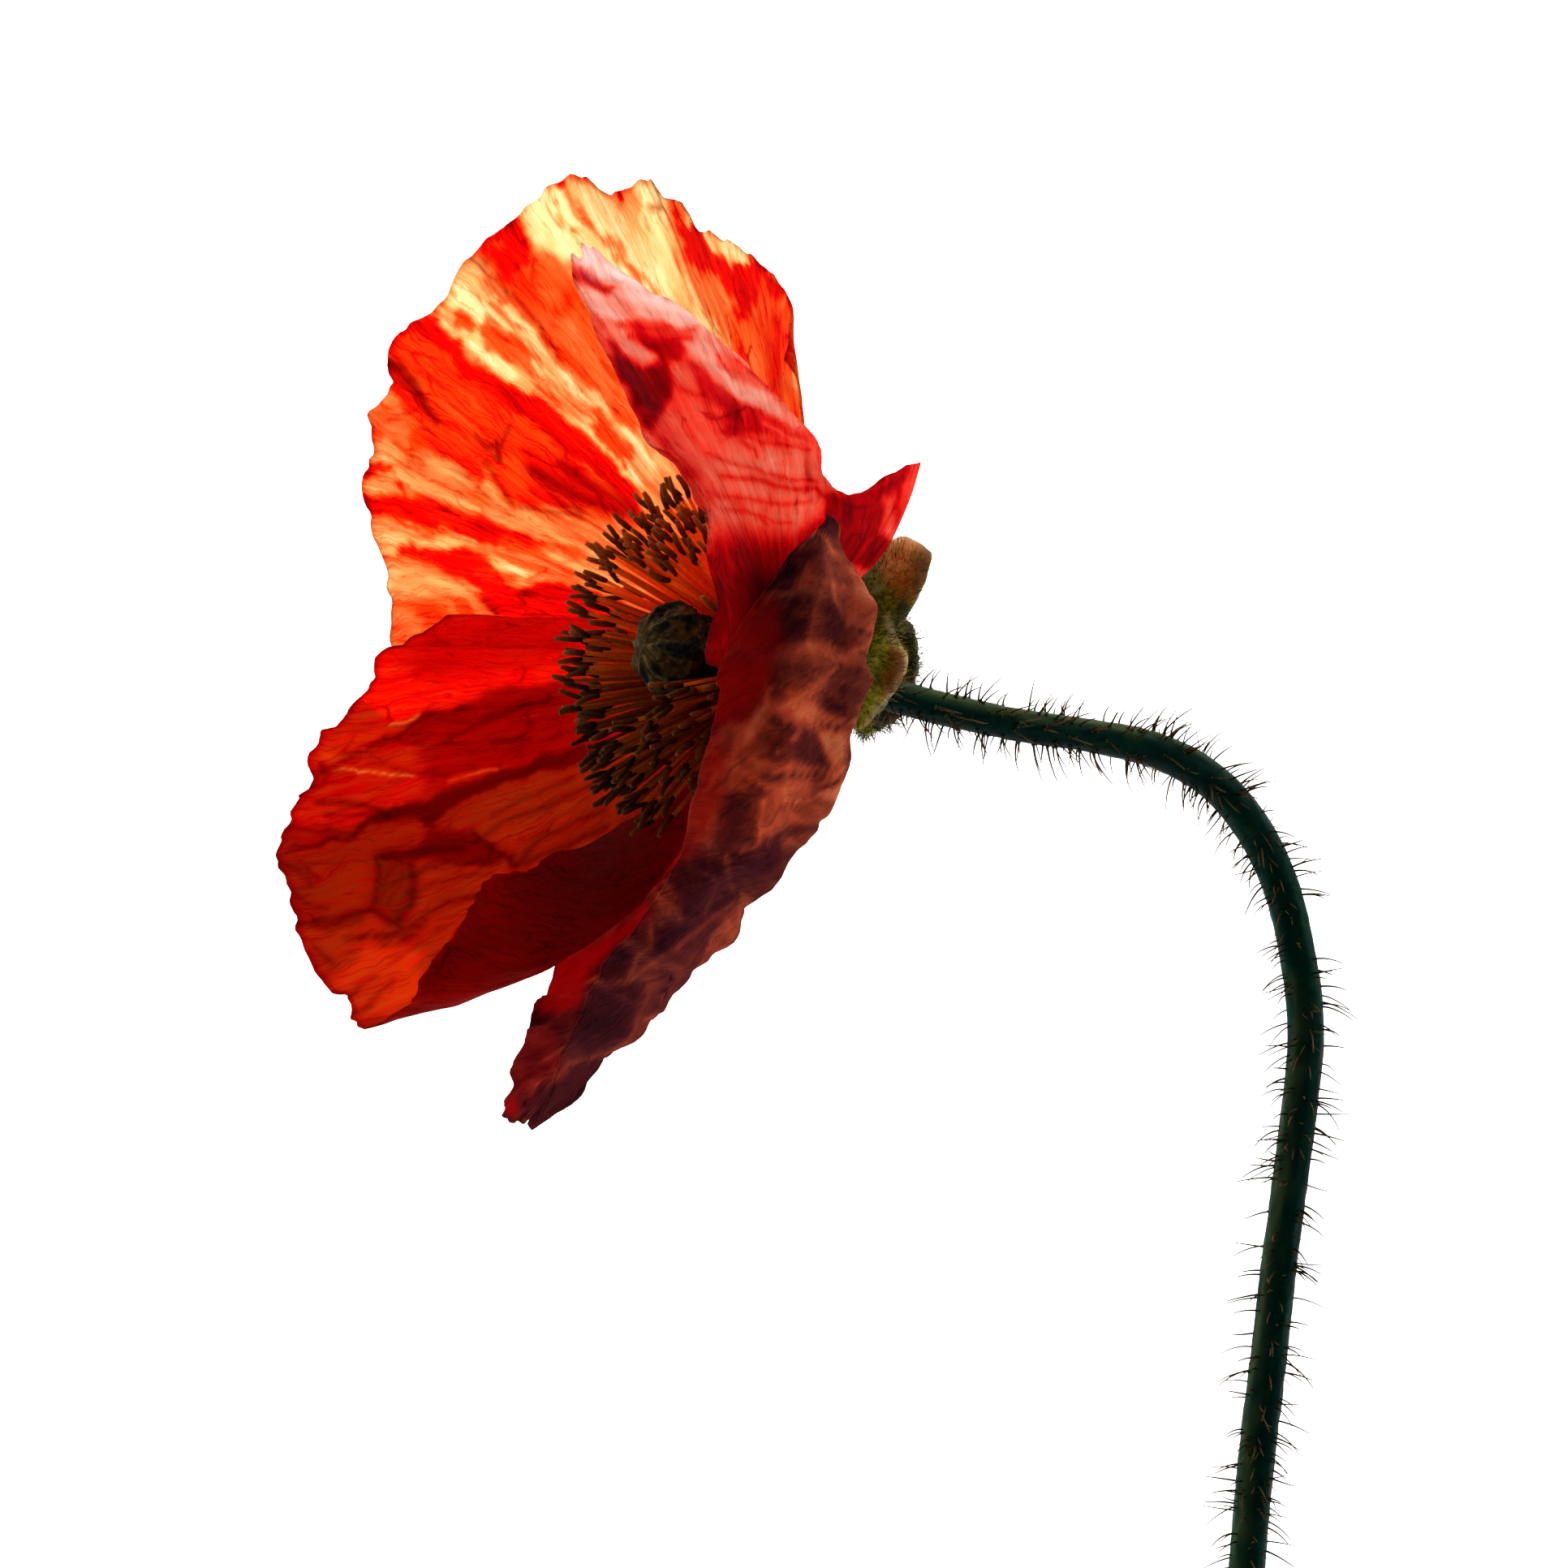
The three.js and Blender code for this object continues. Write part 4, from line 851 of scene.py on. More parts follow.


# marks and creases as on the near upper petal, tone 0 pale pinkish to 1 black-brown; besides the petal's
# brownish colour they paint the light and shade of its crumpled facets and folds
NEAR_LOWER_FIELDS = [
    (0.70, 0.8, [(0.2, 8), (2, 11.5), (4, 12), (4.4, 9), (3.8, 6), (3.4, 3), (1.5, 1.5), (-0.5, 3)]),
    (0.92, 0.5, [(3.6, 12.2), (4.5, 13.9), (5.6, 13.4), (5.5, 11.6), (4.6, 11)]),
    (0.80, 0.7, [(1, 6), (3.2, 6.5), (3.3, 3.5), (2.4, 1), (0.8, 0), (0.3, 3)]),
    (0.22, 0.5, [(5.9, 13), (7.4, 11), (8, 8), (9, 5.5), (9.2, 3), (8.4, 1.6), (6, 2.6), (5.9, 5),
        (7.2, 7), (6.9, 9.3), (6.2, 10.6)]),
    (0.56, 0.6, [(4.3, 10.5), (6, 10.5), (6.8, 8), (5.4, 4.6), (4.2, 7)]),
    (0.76, 0.5, [(4.2, 7.2), (4.9, 5.6), (5.7, 4), (5.6, 1.6), (4.2, 1.3), (3.9, 4)]),
    (0.50, 0.5, [(3, 3.5), (4, 5.5), (4.1, 2), (5.6, 1), (3.5, -1.5), (1.5, -2.8), (0.5, -1), (2, 1)]),
    (0.62, 0.35, [(5.4, 0), (8.4, 0), (8, -2), (4.3, -1.6)]),
    (0.26, 0.7, [(1, -3.8), (3.2, -2.4), (6.6, -4.8), (6, -6), (3.2, -5.4), (0.7, -4.8)]),
    (0.88, 0.45, [(3.2, -3.1), (4.5, -2.8), (6, -3.4), (6.9, -4.7), (5.6, -4.4), (4, -3.8)]),
    (0.80, 0.4, [(-1.9, -7.3), (1, -6.2), (2.8, -5.7), (3.8, -6.5), (4.2, -7.9), (4.7, -8.9), (2.5, -8.3),
        (0, -8)]),
    (0.0, 0.35, [(4, -5.9), (6.2, -5.7), (5.9, -8.3), (4.9, -9), (4.3, -7.6)]),
    (0.32, 0.35, [(-1.6, -8.4), (2, -8.5), (5, -9.2), (4.4, -9.6), (-1.4, -9.3)]),
    (0.26, 0.5, [(-1.3, -9.9), (3, -9.9), (4, -10.5), (3, -11.8), (-0.2, -11.8)]),
    (0.0, 0.35, [(4.8, -9.4), (5.9, -8.6), (6.2, -10.5), (5.4, -12), (3.5, -11.6), (4.1, -10.3)]),
    (0.38, 0.5, [(-1.2, -12.2), (5.6, -12), (5, -13.6), (2.5, -14), (0, -14.8), (-1.6, -15.6)]),
    (0.44, 0.9, [(-5.3, -6.3), (-3.6, -8), (-3.4, -10), (-4.7, -12), (-4.9, -15.8), (-8, -15.8),
        (-7.4, -12), (-6, -9)]),
    (0.60, 0.8, [(-4, -1), (-1.5, 2), (0.5, 0), (-1, -4), (-2.2, -7), (-4.5, -6)]),
    (0.74, 0.5, [(-4.3, -10.8), (-2, -10.8), (-1.2, -13.4), (-1.9, -15.4), (-4.5, -15.6)]),
    (0.84, 0.5, [(4.8, -13.7), (2, -13.9), (-2, -15.6), (-5, -16.3), (-8, -17), (-10, -19), (-10, -22),
        (-6, -22), (-3, -20), (0.5, -16.6), (1.5, -14.9)]),
    (0.50, 0.3, [(4.6, -13.9), (3.4, -15.4), (0.9, -16.2), (0.4, -15), (2.4, -14.3)]),
    (0.60, 0.7, [(-10.6, -18.6), (-8.9, -19), (-8.4, -22), (-10.6, -22.4)]),
    (0.72, 0.8, [(-16, -24), (-11, -21), (-10.4, -25), (-13, -27.5), (-16, -27.3)]),
    (0.94, 0.4, [(-10.4, -22.5), (-6.4, -22.3), (-9, -24.5), (-10.4, -25.4)]),
    (0.90, 0.5, [(-13.5, -24.6), (-11.9, -25), (-12.8, -27), (-15, -26.8)]),
    (0.58, 0.4, [(-11.2, -27), (-7, -24.6), (-5.6, -24.6), (-6.5, -27), (-8, -29.2), (-10.5, -29)]),
    (0.36, 0.3, [(-2.6, -19.6), (-1.6, -20.6), (-4.2, -24.8), (-6.6, -27.3), (-6, -24.6), (-4.4, -22)]),
    (0.88, 0.6, [(-16, -27.8), (-11.8, -27.6), (-12.3, -32), (-16, -33.4), (-18, -31.6)]),
    (0.62, 0.6, [(-11.5, -30), (-9.5, -28.6), (-7, -28), (-9, -31), (-13, -33), (-12.4, -31.6)]),
    (0.84, 0.6, [(-21, -37.4), (-18, -33.9), (-13.6, -33.4), (-17, -38), (-21.4, -39.8)]),
    (0.50, 0.7, [(-21.8, -31), (-19, -31.8), (-18.3, -35), (-21, -37.6), (-23, -36)]),
]
NEAR_LOWER_CREASES = [
    (0.30, 0.28, [(4.3, 10.8), (5, 9.4), (6.6, 8), (7.2, 6.2)]),
    (0.32, 0.22, [(4.7, 8), (5, 6), (5.8, 4.3)]),
    (0.36, 0.25, [(3.9, 6), (3.3, 4.2), (2.9, 2), (3.4, 0)]),
    (0.70, 0.25, [(5.6, 2.8), (7, 2.9), (8.6, 2.4)]),
    (0.22, 0.30, [(8.5, 1.9), (7.2, 1.4), (5.6, 0.1), (4, -1.5), (2.2, -2.9), (0.3, -4)]),
    (0.78, 0.22, [(5.2, -0.3), (6.6, 0.05), (8, -0.3)]),
    (0.72, 0.18, [(4.8, -1), (6.4, -1.1), (7.9, -1.5)]),
    (0.20, 0.3, [(5.2, -5.1), (6.3, -5.2), (7, -4.9)]),
    (0.74, 0.25, [(4, -5.2), (5.4, -5.6), (6.2, -5.4)]),
    (0.34, 0.16, [(0.1, -7.5), (1.8, -6.3), (2.8, -5.8)]),
    (0.72, 0.16, [(-1, -9.7), (1.5, -9.5), (4.6, -9.8)]),
    (0.70, 0.25, [(3.6, -10.8), (4.8, -10.4), (6, -9.4)]),
    (0.18, 0.18, [(-1.2, -11.7), (1, -11.8), (3.4, -11.7), (5, -10.9)]),
    (0.28, 0.2, [(-1, -12), (-1.2, -13.5), (-1.6, -15.4)]),
    (0.36, 0.4, [(-0.8, -1.6), (-0.8, -3.6), (-1.5, -5.5), (-3.4, -7.7)]),
    (0.36, 0.5, [(-5.8, -11), (-5.6, -13), (-6, -15.4)]),
    (0.50, 0.16, [(-10.8, -18.6), (-9, -16.9), (-8, -16.5), (-4, -16.3), (-0.6, -15.5)]),
    (0.55, 0.3, [(-4.3, -16.5), (-4, -18), (-3.6, -19.6)]),
    (0.44, 0.22, [(-9.6, -18.6), (-8.7, -20), (-8.3, -22.2)]),
    (0.62, 0.2, [(-5, -19), (-5.9, -21), (-6, -22)]),
    (0.46, 0.24, [(-3.4, -20.3), (-6, -22.4), (-8.5, -24.4), (-10.5, -25.6), (-12.5, -27.3), (-14, -27.5),
        (-16, -27.1)]),
    (0.42, 0.24, [(-10.8, -21.8), (-10.5, -24.3), (-11.8, -25.1), (-12.5, -26.8)]),
    (0.70, 0.2, [(-5.4, -22.8), (-6, -24.4), (-7.4, -27), (-9.4, -29.2)]),
    (0.36, 0.2, [(-3.6, -21), (-5.4, -23.6), (-6.6, -25.8), (-8, -28), (-9.6, -29.7), (-11.4, -30.6)]),
    (0.48, 0.22, [(-10.9, -27.8), (-11.1, -29), (-12, -31), (-12.6, -32.2)]),
    (0.46, 0.26, [(-19, -35.6), (-18, -34.4), (-15.8, -33.7), (-13.8, -33.1), (-12.4, -32)]),
    (0.60, 0.3, [(-16, -27.2), (-16.3, -29), (-17.6, -31.2), (-19.5, -32)]),
    (0.55, 0.22, [(-21.5, -31.5), (-21.2, -33.4), (-22.2, -36.4)]),
    (0.99, 0.22, [(-9.1, -27), (-8.9, -27.1)]),
    (0.98, 0.2, [(-9.8, -28), (-9.6, -28)]),
]
# where the light comes through crimson: (strength, softness in mm, corners)
NEAR_LOWER_GLOW = [
    (0.8, 0.6, [(-18.4, -25), (-15, -23.6), (-11, -20.4), (-10.6, -21.5), (-13, -23.6), (-15.8, -26),
        (-17, -29.5), (-20.5, -30.2), (-20, -27.5)]),
    (0.25, 0.8, [(-22, -31), (-19, -31.5), (-18.2, -35), (-21, -37.6), (-23.4, -37)]),
    (0.8, 0.3, [(-23.6, -38.6), (-23, -36.6), (-22.2, -37.5), (-22, -39.4)]),
    (0.85, 0.9, [(-6, 4.5), (-2.5, 7), (0.4, 5.2), (0.9, 1.5), (-0.6, -2.4), (-2.6, -5), (-6, -5.5)]),
    (0.6, 0.8, [(-5.3, -5), (-6.5, -9), (-8.5, -15.8), (-10.5, -18.5), (-6.8, -16.5), (-4.6, -12),
        (-3.8, -7)]),
]


def form_near_lower(sheet):
    def nick(s):
        ragged = waves(s, s, (0.008, 30, 1, 71), (0.005, 100, 1, 72))
        return 0.001 + ragged + 0.02 * bump(0.47, 0.03, s) * noise(s * 70, s, 73)

    def fine(s, t):
        pleat = 0.08 * noise(s * 50, t * 5, 74)
        curl = 0.4 * noise(s * 20, t * 2, 78) * smooth(0.93, 1, t)
        crumple = 0.9 * sheet.crumple(3.0, 1.1, 77) * smooth(0.15, 0.4, t)
        return (pleat + curl + crumple) * smooth(0.05, 0.3, t)

    sheet.form(nick, fine)


def near_lower():
    sheet = NEAR_LOWER
    form_near_lower(sheet)
    s, t = sheet.s, sheet.t
    x, y = sheet.seen(87, 0.0, 0.6)
    tone = 0.66 + 0.05 * noise(x * 0.5, y * 0.5, 86)
    tone = washed(tone, patch, x, y, NEAR_LOWER_FIELDS, softer=1.1)
    x, y = sheet.seen(87, 0.0, 0.35)
    tone = washed(tone, stroke, x, y, NEAR_LOWER_CREASES)
    # painted highlights: a net of lighter lines for the lit ridges, stronger in the upper part
    net = ridges(x * 0.35, y * 0.35, 88) + 0.8 * ridges(x * 0.8 + 9, y * 0.8, 89)
    tone = tone - mix(0.07, 0.15, smooth(-26, -18, y)) * net + 0.08 * ridges(s * 30, t * 4, 90)
    # painted shade and light from the fine relief: darker and letting less light through on its ridges,
    # paler in its valleys
    ridge, valley = sheet.folds()
    streak = waves(s, t, (1, 60, 4, 84), (0.6, 130, 7, 85))
    tone = tone + 0.03 * streak + 0.1 * ridge - 0.1 * valley
    # painted light: paler where the relief turns towards the upper left, darker where it turns away
    tone = tone - 0.85 * sheet.facing_light()
    # less contrast, darker in the lower half, and the darkest tones held back
    tone = 0.56 + 0.86 * (tone - 0.56) + 0.13 * (1 - smooth(-18, -14, y))
    tone = np.where(tone > 0.7, 0.7 + 0.65 * (tone - 0.7), tone)
    shade = 1 - 0.25 * ridge - 0.3 * (1 - smooth(0.05, 0.25, t))
    paint = petal_paint(tone, shade, strongest(patch, x, y, NEAR_LOWER_GLOW))
    sheet.piece("near_lower_petal", "petal_near_lower", "petal_red", brownish_look(), paint)


# ---- materials ----
class Look:
    """A node material under construction."""

    def __init__(self, name):
        self.material = bpy.data.materials.new(name)
        self.material.use_nodes = True
        self.tree = self.material.node_tree
        self.tree.nodes.clear()

    def node(self, kind, inputs=(), **settings):
        made = self.tree.nodes.new("ShaderNode" + kind)
        for key, value in settings.items():
            setattr(made, key, value)
        for key, value in dict(inputs).items():
            if isinstance(value, bpy.types.NodeSocket):
                self.tree.links.new(value, made.inputs[key])
            else:
                made.inputs[key].default_value = value
        return made

    def paint(self):
        attribute = self.node("Attribute", attribute_name="paint")
        parts = self.node("SeparateColor", {0: attribute.outputs["Color"]})
        return parts.outputs[0], parts.outputs[1], parts.outputs[2]

    def place(self):
        return self.node("TexCoord").outputs["Object"]

    def maths(self, operation, a, b, clamp=False):
        return self.node("Math", {0: a, 1: b}, operation=operation, use_clamp=clamp).outputs[0]

    def vector(self, operation, a, b):
        return self.node("VectorMath", {0: a, 1: b}, operation=operation).outputs[0]

    def add_scaled(self, base, value, centre, amount):
        change = self.maths("MULTIPLY", self.maths("SUBTRACT", value, centre), amount)
        return self.maths("ADD", base, change)

    def ramp(self, value, stops):
        ramp = self.node("ValToRGB", {0: value})
        elements = ramp.color_ramp.elements
        for _ in stops[2:]:
            elements.new(0.5)
        for element, (place, colour) in zip(elements, stops):
            element.position = place
            element.color = (*colour, 1)
        return ramp.outputs[0]

    def blend(self, kind, share, a, b):
        """Colour b, a socket or (red, green, blue), over colour a."""
        b = (*b, 1) if isinstance(b, tuple) else b
        return self.node("Mix", {0: share, 6: a, 7: b}, data_type="RGBA", blend_type=kind).outputs[2]

    def noise(self, vector, scale, detail=3.0, roughness=0.6):
        inputs = {"Vector": vector, "Scale": scale, "Detail": detail, "Roughness": roughness}
        return self.node("TexNoise", inputs).outputs[0]

    def stretched(self, vector, scale):
        return self.node("Mapping", {0: vector, "Scale": scale}).outputs[0]

    def lines(self, value, width):
        """1 where value crosses the middle, gone at width from it."""
        off = self.maths("ABSOLUTE", self.maths("SUBTRACT", value, 0.5), 0.0)
        return self.maths("SUBTRACT", 1.0, self.maths("DIVIDE", off, width), True)

    def relief(self, height, strength, metres):
        inputs = {"Strength": strength, "Distance": metres, "Height": height}
        return self.node("Bump", inputs).outputs[0]

    def skin(self, colour, roughness, shine, sheen=(), **normal):
        """A dull surface. sheen gives the weight, roughness and tint of its velvet, if it has any."""
        inputs = {"Base Color": colour, "Roughness": roughness, "Specular IOR Level": shine, **normal}
        for key, value in zip(("Sheen Weight", "Sheen Roughness", "Sheen Tint"), sheen):
            inputs[key] = value
        return self.node("BsdfPrincipled", inputs).outputs[0]

    def backlit(self, share, skin, colour, **normal):
        """The skin, with a share of light that comes through from behind in this colour."""
        glow = self.node("BsdfTranslucent", {"Color": colour, **normal}).outputs[0]
        return self.node("MixShader", {0: share, 1: skin, 2: glow}).outputs[0]

    def finish(self, shader):
        self.node("OutputMaterial", {0: shader})
        return self.material


def wavering_sheet(look, sheet, shift):
    """The sheet's own coordinates, moved by shift and pushed about, so that its veins waver."""
    inputs = {"Vector": look.stretched(sheet, (34, 12, 1)), "Scale": 1.0, "Detail": 3.0}
    sway = look.node("TexNoise", inputs).outputs[1]
    sway = look.vector("MULTIPLY", look.vector("SUBTRACT", sway, (0.5, 0.5, 0.5)), (0.03, 0.07, 0))
    return look.vector("ADD", look.vector("ADD", sheet, sway), (shift, shift, 0))


def hair_lines(look, sheet, across, along):
    """Hair-thin veins, and a net of creases, so many across and along, that comes and goes; the creases are
    painted shade.
    """
    veins = look.lines(look.noise(look.stretched(sheet, (120, 4, 1)), 1.0, 2.0), 0.035)
    inputs = {"Vector": look.stretched(sheet, (across, along, 1)), "Scale": 1.0}
    to_edge = look.node("TexVoronoi", inputs, feature="DISTANCE_TO_EDGE").outputs["Distance"]
    crease = look.maths("SUBTRACT", 0.8, look.maths("DIVIDE", to_edge, 0.04), True)
    there = look.noise(look.stretched(sheet, (13, 6, 1)), 1.0, 2.0)
    there = look.maths("MULTIPLY", look.maths("SUBTRACT", there, 0.47), 6.0, True)
    crease = look.maths("MULTIPLY", crease, there, True)
    return look.maths("MAXIMUM", look.maths("MULTIPLY", veins, 0.45), crease)


def petal_look(name, through, front, share, folded, wash_through=(0.30, 0.05, 0.01),
               wash_front=(0.2, 0.06, 0.02), shine=0.1, vein=0.42, line=0.13):
    """A thin petal: light comes through it tinted by its tone, and a little is turned back.

    folded gives how many creases there are across and along it, and a shift that sets its own apart.
    """
    look = Look(name)
    tone, shade, washed_share = look.paint()
    sheet = look.node("UVMap", uv_map="sheet").outputs[0]
    across, along, shift = folded
    wavering = wavering_sheet(look, sheet, shift)
    veins = look.noise(look.stretched(wavering, (230, 8, 1)), 1.0)
    grain = look.noise(look.stretched(sheet, (900, 200, 1)), 1.0, 2.0)
    veins_and_crease_shade = hair_lines(look, wavering, across, along)
    tone = look.add_scaled(tone, veins, 0.5, vein)
    tone = look.add_scaled(tone, grain, 0.5, 0.18)
    tone = look.add_scaled(tone, veins_and_crease_shade, 0.0, line)
    shade = look.add_scaled(shade, veins, 0.5, 0.7 * vein)
    shade = look.add_scaled(shade, grain, 0.5, 0.2)
    # the veins, and painted shade along the net of creases, darken the colour and let less light through
    shade = look.maths("MULTIPLY", shade, look.maths("SUBTRACT", 1.0, look.maths("MULTIPLY", veins_and_crease_shade, 0.35)))
    dim = look.node("CombineColor", {0: shade, 1: shade, 2: shade}).outputs[0]

    def coloured(stops, wash_colour):
        colour = look.blend("MIX", washed_share, look.ramp(tone, stops), wash_colour)
        return look.blend("MULTIPLY", 1.0, colour, dim)

    relief = look.relief(veins, 0.4, 0.0002)
    velvet = (0.5 * shine, 0.5, (1.0, 0.6, 0.6, 1))
    skin = look.skin(coloured(front, wash_front), 0.6, shine, velvet, Normal=relief)
    return look.finish(look.backlit(share, skin, coloured(through, wash_through), Normal=relief))


# colours by tone on the two far petals: light through them, and light turned back
BACKLIT = (
    (0, (0.93, 0.82, 0.56)), (0.2, (0.90, 0.58, 0.30)), (0.4, (0.88, 0.34, 0.15)),
    (0.57, (0.87, 0.19, 0.035)), (0.75, (0.84, 0.02, 0.012)), (1, (0.45, 0.012, 0.015)),
)
BACKLIT_FRONT = (
    (0, (0.60, 0.40, 0.18)), (0.4, (0.5, 0.18, 0.06)), (0.75, (0.4, 0.03, 0.02)), (1, (0.2, 0.015, 0.015)),
)


def streaked_look():
    return petal_look("petal_streaked", BACKLIT, BACKLIT_FRONT, 0.88, (30, 3.5, 3), vein=0.5, line=0.34)


def crumpled_look():
    return petal_look("petal_crumpled", BACKLIT, BACKLIT_FRONT, 0.88, (26, 5, 11), line=0.16)


def pink_look():
    return petal_look(
        "petal_pink",
        through=((0, (1.0, 0.76, 0.68)), (0.25, (1.0, 0.44, 0.33)), (0.5, (1.0, 0.20, 0.13)),
                 (0.75, (0.84, 0.03, 0.05)), (1, (0.42, 0.03, 0.04))),
        front=((0, (0.95, 0.62, 0.56)), (0.25, (0.8, 0.3, 0.24)), (0.5, (0.55, 0.09, 0.08)),
               (0.75, (0.30, 0.015, 0.03)), (1, (0.09, 0.01, 0.02))),
        share=0.8, folded=(12, 4, 17), wash_through=(1.0, 0.95, 0.92), wash_front=(1.0, 0.92, 0.9),
        shine=0.04, vein=0.18, line=0.22,
    )


def brownish_look():
    return petal_look(
        "petal_brownish",
        through=((0, (1.0, 0.50, 0.25)), (0.3, (0.84, 0.235, 0.105)), (0.6, (0.43, 0.095, 0.057)),
                 (0.8, (0.22, 0.035, 0.042)), (1, (0.06, 0.011, 0.02))),
        front=((0, (1.0, 0.42, 0.22)), (0.3, (0.78, 0.205, 0.10)), (0.6, (0.37, 0.085, 0.055)),
               (0.8, (0.18, 0.035, 0.042)), (1, (0.045, 0.011, 0.02))),
        share=0.68, folded=(20, 5, 23), wash_through=(0.60, 0.02, 0.02), wash_front=(0.30, 0.012, 0.016),
        shine=0.0, vein=0.2,
    )


def stem_look():
    """Paint holds how far each side is lit and how far it is shaded: painted light and shade."""
    look = Look("stem_skin")
    pale, shaded_side, _ = look.paint()
    place = look.place()
    value = look.add_scaled(look.noise(place, 260.0, 4.0), look.noise(place, 1500.0, 2.0), 0.5, 0.4)
    greens = ((0.3, (0.0, 0.020, 0.017)), (0.55, (0.0, 0.034, 0.022)), (0.8, (0.01, 0.062, 0.023)))
    # painted light: paler green on the lit side; painted shade: near black on the other side
    colour = look.blend("MIX", pale, look.ramp(value, greens), (0.085, 0.12, 0.035))
    colour = look.blend("MIX", shaded_side, colour, (0.0, 0.011, 0.011))
    return look.finish(look.skin(colour, 0.6, 0.03, Normal=look.relief(value, 0.4, 0.0002)))


def strand_look(name, root, tip, share):
    """Hairs and bristles: paint holds how far out a point is, and a draw for the strand."""
    look = Look(name)
    along, draw, _ = look.paint()
    dim = look.ramp(draw, ((0, (0.5, 0.5, 0.5)), (1, (1, 1, 1))))
    colour = look.blend("MULTIPLY", 1.0, look.ramp(along, ((0, root), (1, tip))), dim)
    return look.finish(look.backlit(share, look.skin(colour, 0.6, 0.08), colour))


def husk_look():
    """Green and downy; paint holds where it is brown, where cream, which includes a painted highlight on
    the top rim, and where dark, which includes painted shade under the petal.
    """
    look = Look("husk_skin")
    brown, cream, dark = look.paint()
    place = look.place()
    down = look.noise(place, 1600.0, 3.0)
    value = look.add_scaled(down, look.noise(place, 300.0, 3.0), 0.5, 0.6)
    greens = ((0.25, (0.12, 0.13, 0.004)), (0.5, (0.42, 0.42, 0.01)), (0.75, (0.85, 0.80, 0.05)))
    rusts = ((0.2, (0.50, 0.14, 0.012)), (0.5, (0.68, 0.23, 0.02)), (0.85, (0.92, 0.45, 0.09)))
    colour = look.blend("MIX", brown, look.ramp(value, greens), look.ramp(value, rusts))
    colour = look.blend("MIX", cream, colour, (1.0, 0.80, 0.52))
    colour = look.blend("MIX", dark, colour, (0.02, 0.03, 0.012))
    relief = look.relief(down, 0.8, 0.0003)
    skin = look.skin(colour, 0.8, 0.1, (0.3, 0.6), Normal=relief)
    return look.finish(look.backlit(0.6, skin, colour, Normal=relief))


def pistil_look():
    """Paint holds where it is near black with painted shade, and where its cap is."""
    look = Look("pistil_velvet")
    velvet, cap, _ = look.paint()
    place = look.place()
    pile = look.noise(place, 1800.0, 3.0)
    value = look.add_scaled(pile, look.noise(place, 500.0, 3.0), 0.5, 0.8)
    side = look.ramp(value, ((0.3, (0.012, 0.010, 0.004)), (0.75, (0.07, 0.045, 0.012))))
    crown = look.ramp(value, ((0.3, (0.026, 0.018, 0.004)), (0.75, (0.15, 0.085, 0.015))))
    colour = look.blend("MIX", cap, side, crown)
    # painted shade: near black where the paint says
    colour = look.blend("MIX", velvet, colour, (0.003, 0.005, 0.005))
    sheen = (0.12, 0.6, (0.8, 0.65, 0.35, 1))
    return look.finish(look.skin(colour, 0.85, 0.1, sheen, Normal=look.relief(pile, 0.9, 0.0003)))


def stamen_look(name, low, high, share):
    """Paint holds how far out a point is, and how brightly the stamen is lit: painted light and shade with
    a random share.
    """
    look = Look(name)
    along, draw, _ = look.paint()
    dust = look.noise(look.place(), 2600.0, 2.0)
    colour = look.ramp(look.add_scaled(along, dust, 0.5, 0.9), ((0.1, low), (0.9, high)))
    lit = look.ramp(draw, ((0, (0.38, 0.42, 0.5)), (1, (1.35, 1.3, 1.1))))
    colour = look.blend("MULTIPLY", 1.0, colour, lit)
    skin = look.skin(colour, 0.6, 0.1, Normal=look.relief(dust, 0.6, 0.0001))
    return look.finish(look.backlit(share, skin, colour))


# ---- the middle of the bloom ----
STAMENS = 290
FILAMENT_STEPS = 10
REACH = 16.8  # receptacle's centre to an anther's foot
ANTHER = 2.45
ANTHER_STEPS, ANTHER_SIDES = 9, 8
COLLAR_SIDES = 48
GOLDEN = math.pi * (3 - math.sqrt(5))
NEAR_SIDE = math.radians(-65)  # where the near petals are, round the axis


def heart(x, y, z):
    """A point from along up, far and the axis."""
    return np.asarray(x)[..., None] * UP + np.asarray(y)[..., None] * FAR + np.asarray(z)[..., None] * AXIS


def arc(u, start, bend, end):
    """A quadratic Bezier curve over u for each stamen."""
    return (1 - u) ** 2 * start[:, None] + 2 * u * (1 - u) * bend[:, None] + u**2 * end[:, None]


def filament_paths(random, angle, share):
    """Curves from the collar to the anthers. On the near side they are shorter and lean out less."""
    near = np.maximum(0, np.cos(angle - NEAR_SIDE))
    inmost = mix(math.radians(27), math.radians(25), near)
    outmost = mix(math.radians(62), math.radians(44), near)
    lean = mix(inmost, outmost, share)
    reach = REACH * (1 - 0.28 * near) + 1.3 * random.uniform(-1, 0.8, len(angle))
    bow = math.radians(4) + math.radians(3) * random.uniform(-1, 1, len(angle))
    sway = 0.5 * random.uniform(-1, 1, len(angle))
    u = np.linspace(0, 1, FILAMENT_STEPS)[None, :]
    r = arc(u, mix(1.6, 2.2, share), 0.5 * reach * np.sin(lean + bow), reach * np.sin(lean))
    z = arc(u, mix(2.6, 2.4, share), 0.5 * reach * np.cos(lean + bow), reach * np.cos(lean))
    side = sway[:, None] * 2 * u * (1 - u)
    cos, sin = np.cos(angle)[:, None], np.sin(angle)[:, None]
    return heart(r * cos - side * sin, r * sin + side * cos, z)


def drawn(random, lit, along):
    """How brightly each stamen is painted lit, with a random share, at each of its points."""
    return np.repeat(np.clip(lit + random.uniform(-0.3, 0.3, len(lit)), 0, 1), along.shape[1])


def filaments(random, paths, lit):
    taper = 0.21 * (1 - 0.2 * np.linspace(0, 1, FILAMENT_STEPS)[None, :])
    points, faces, along = tubes(paths, taper * random.uniform(0.8, 1.15, len(lit))[:, None], 6)
    return points, faces, along.ravel() * 0.8, drawn(random, lit, along), 0


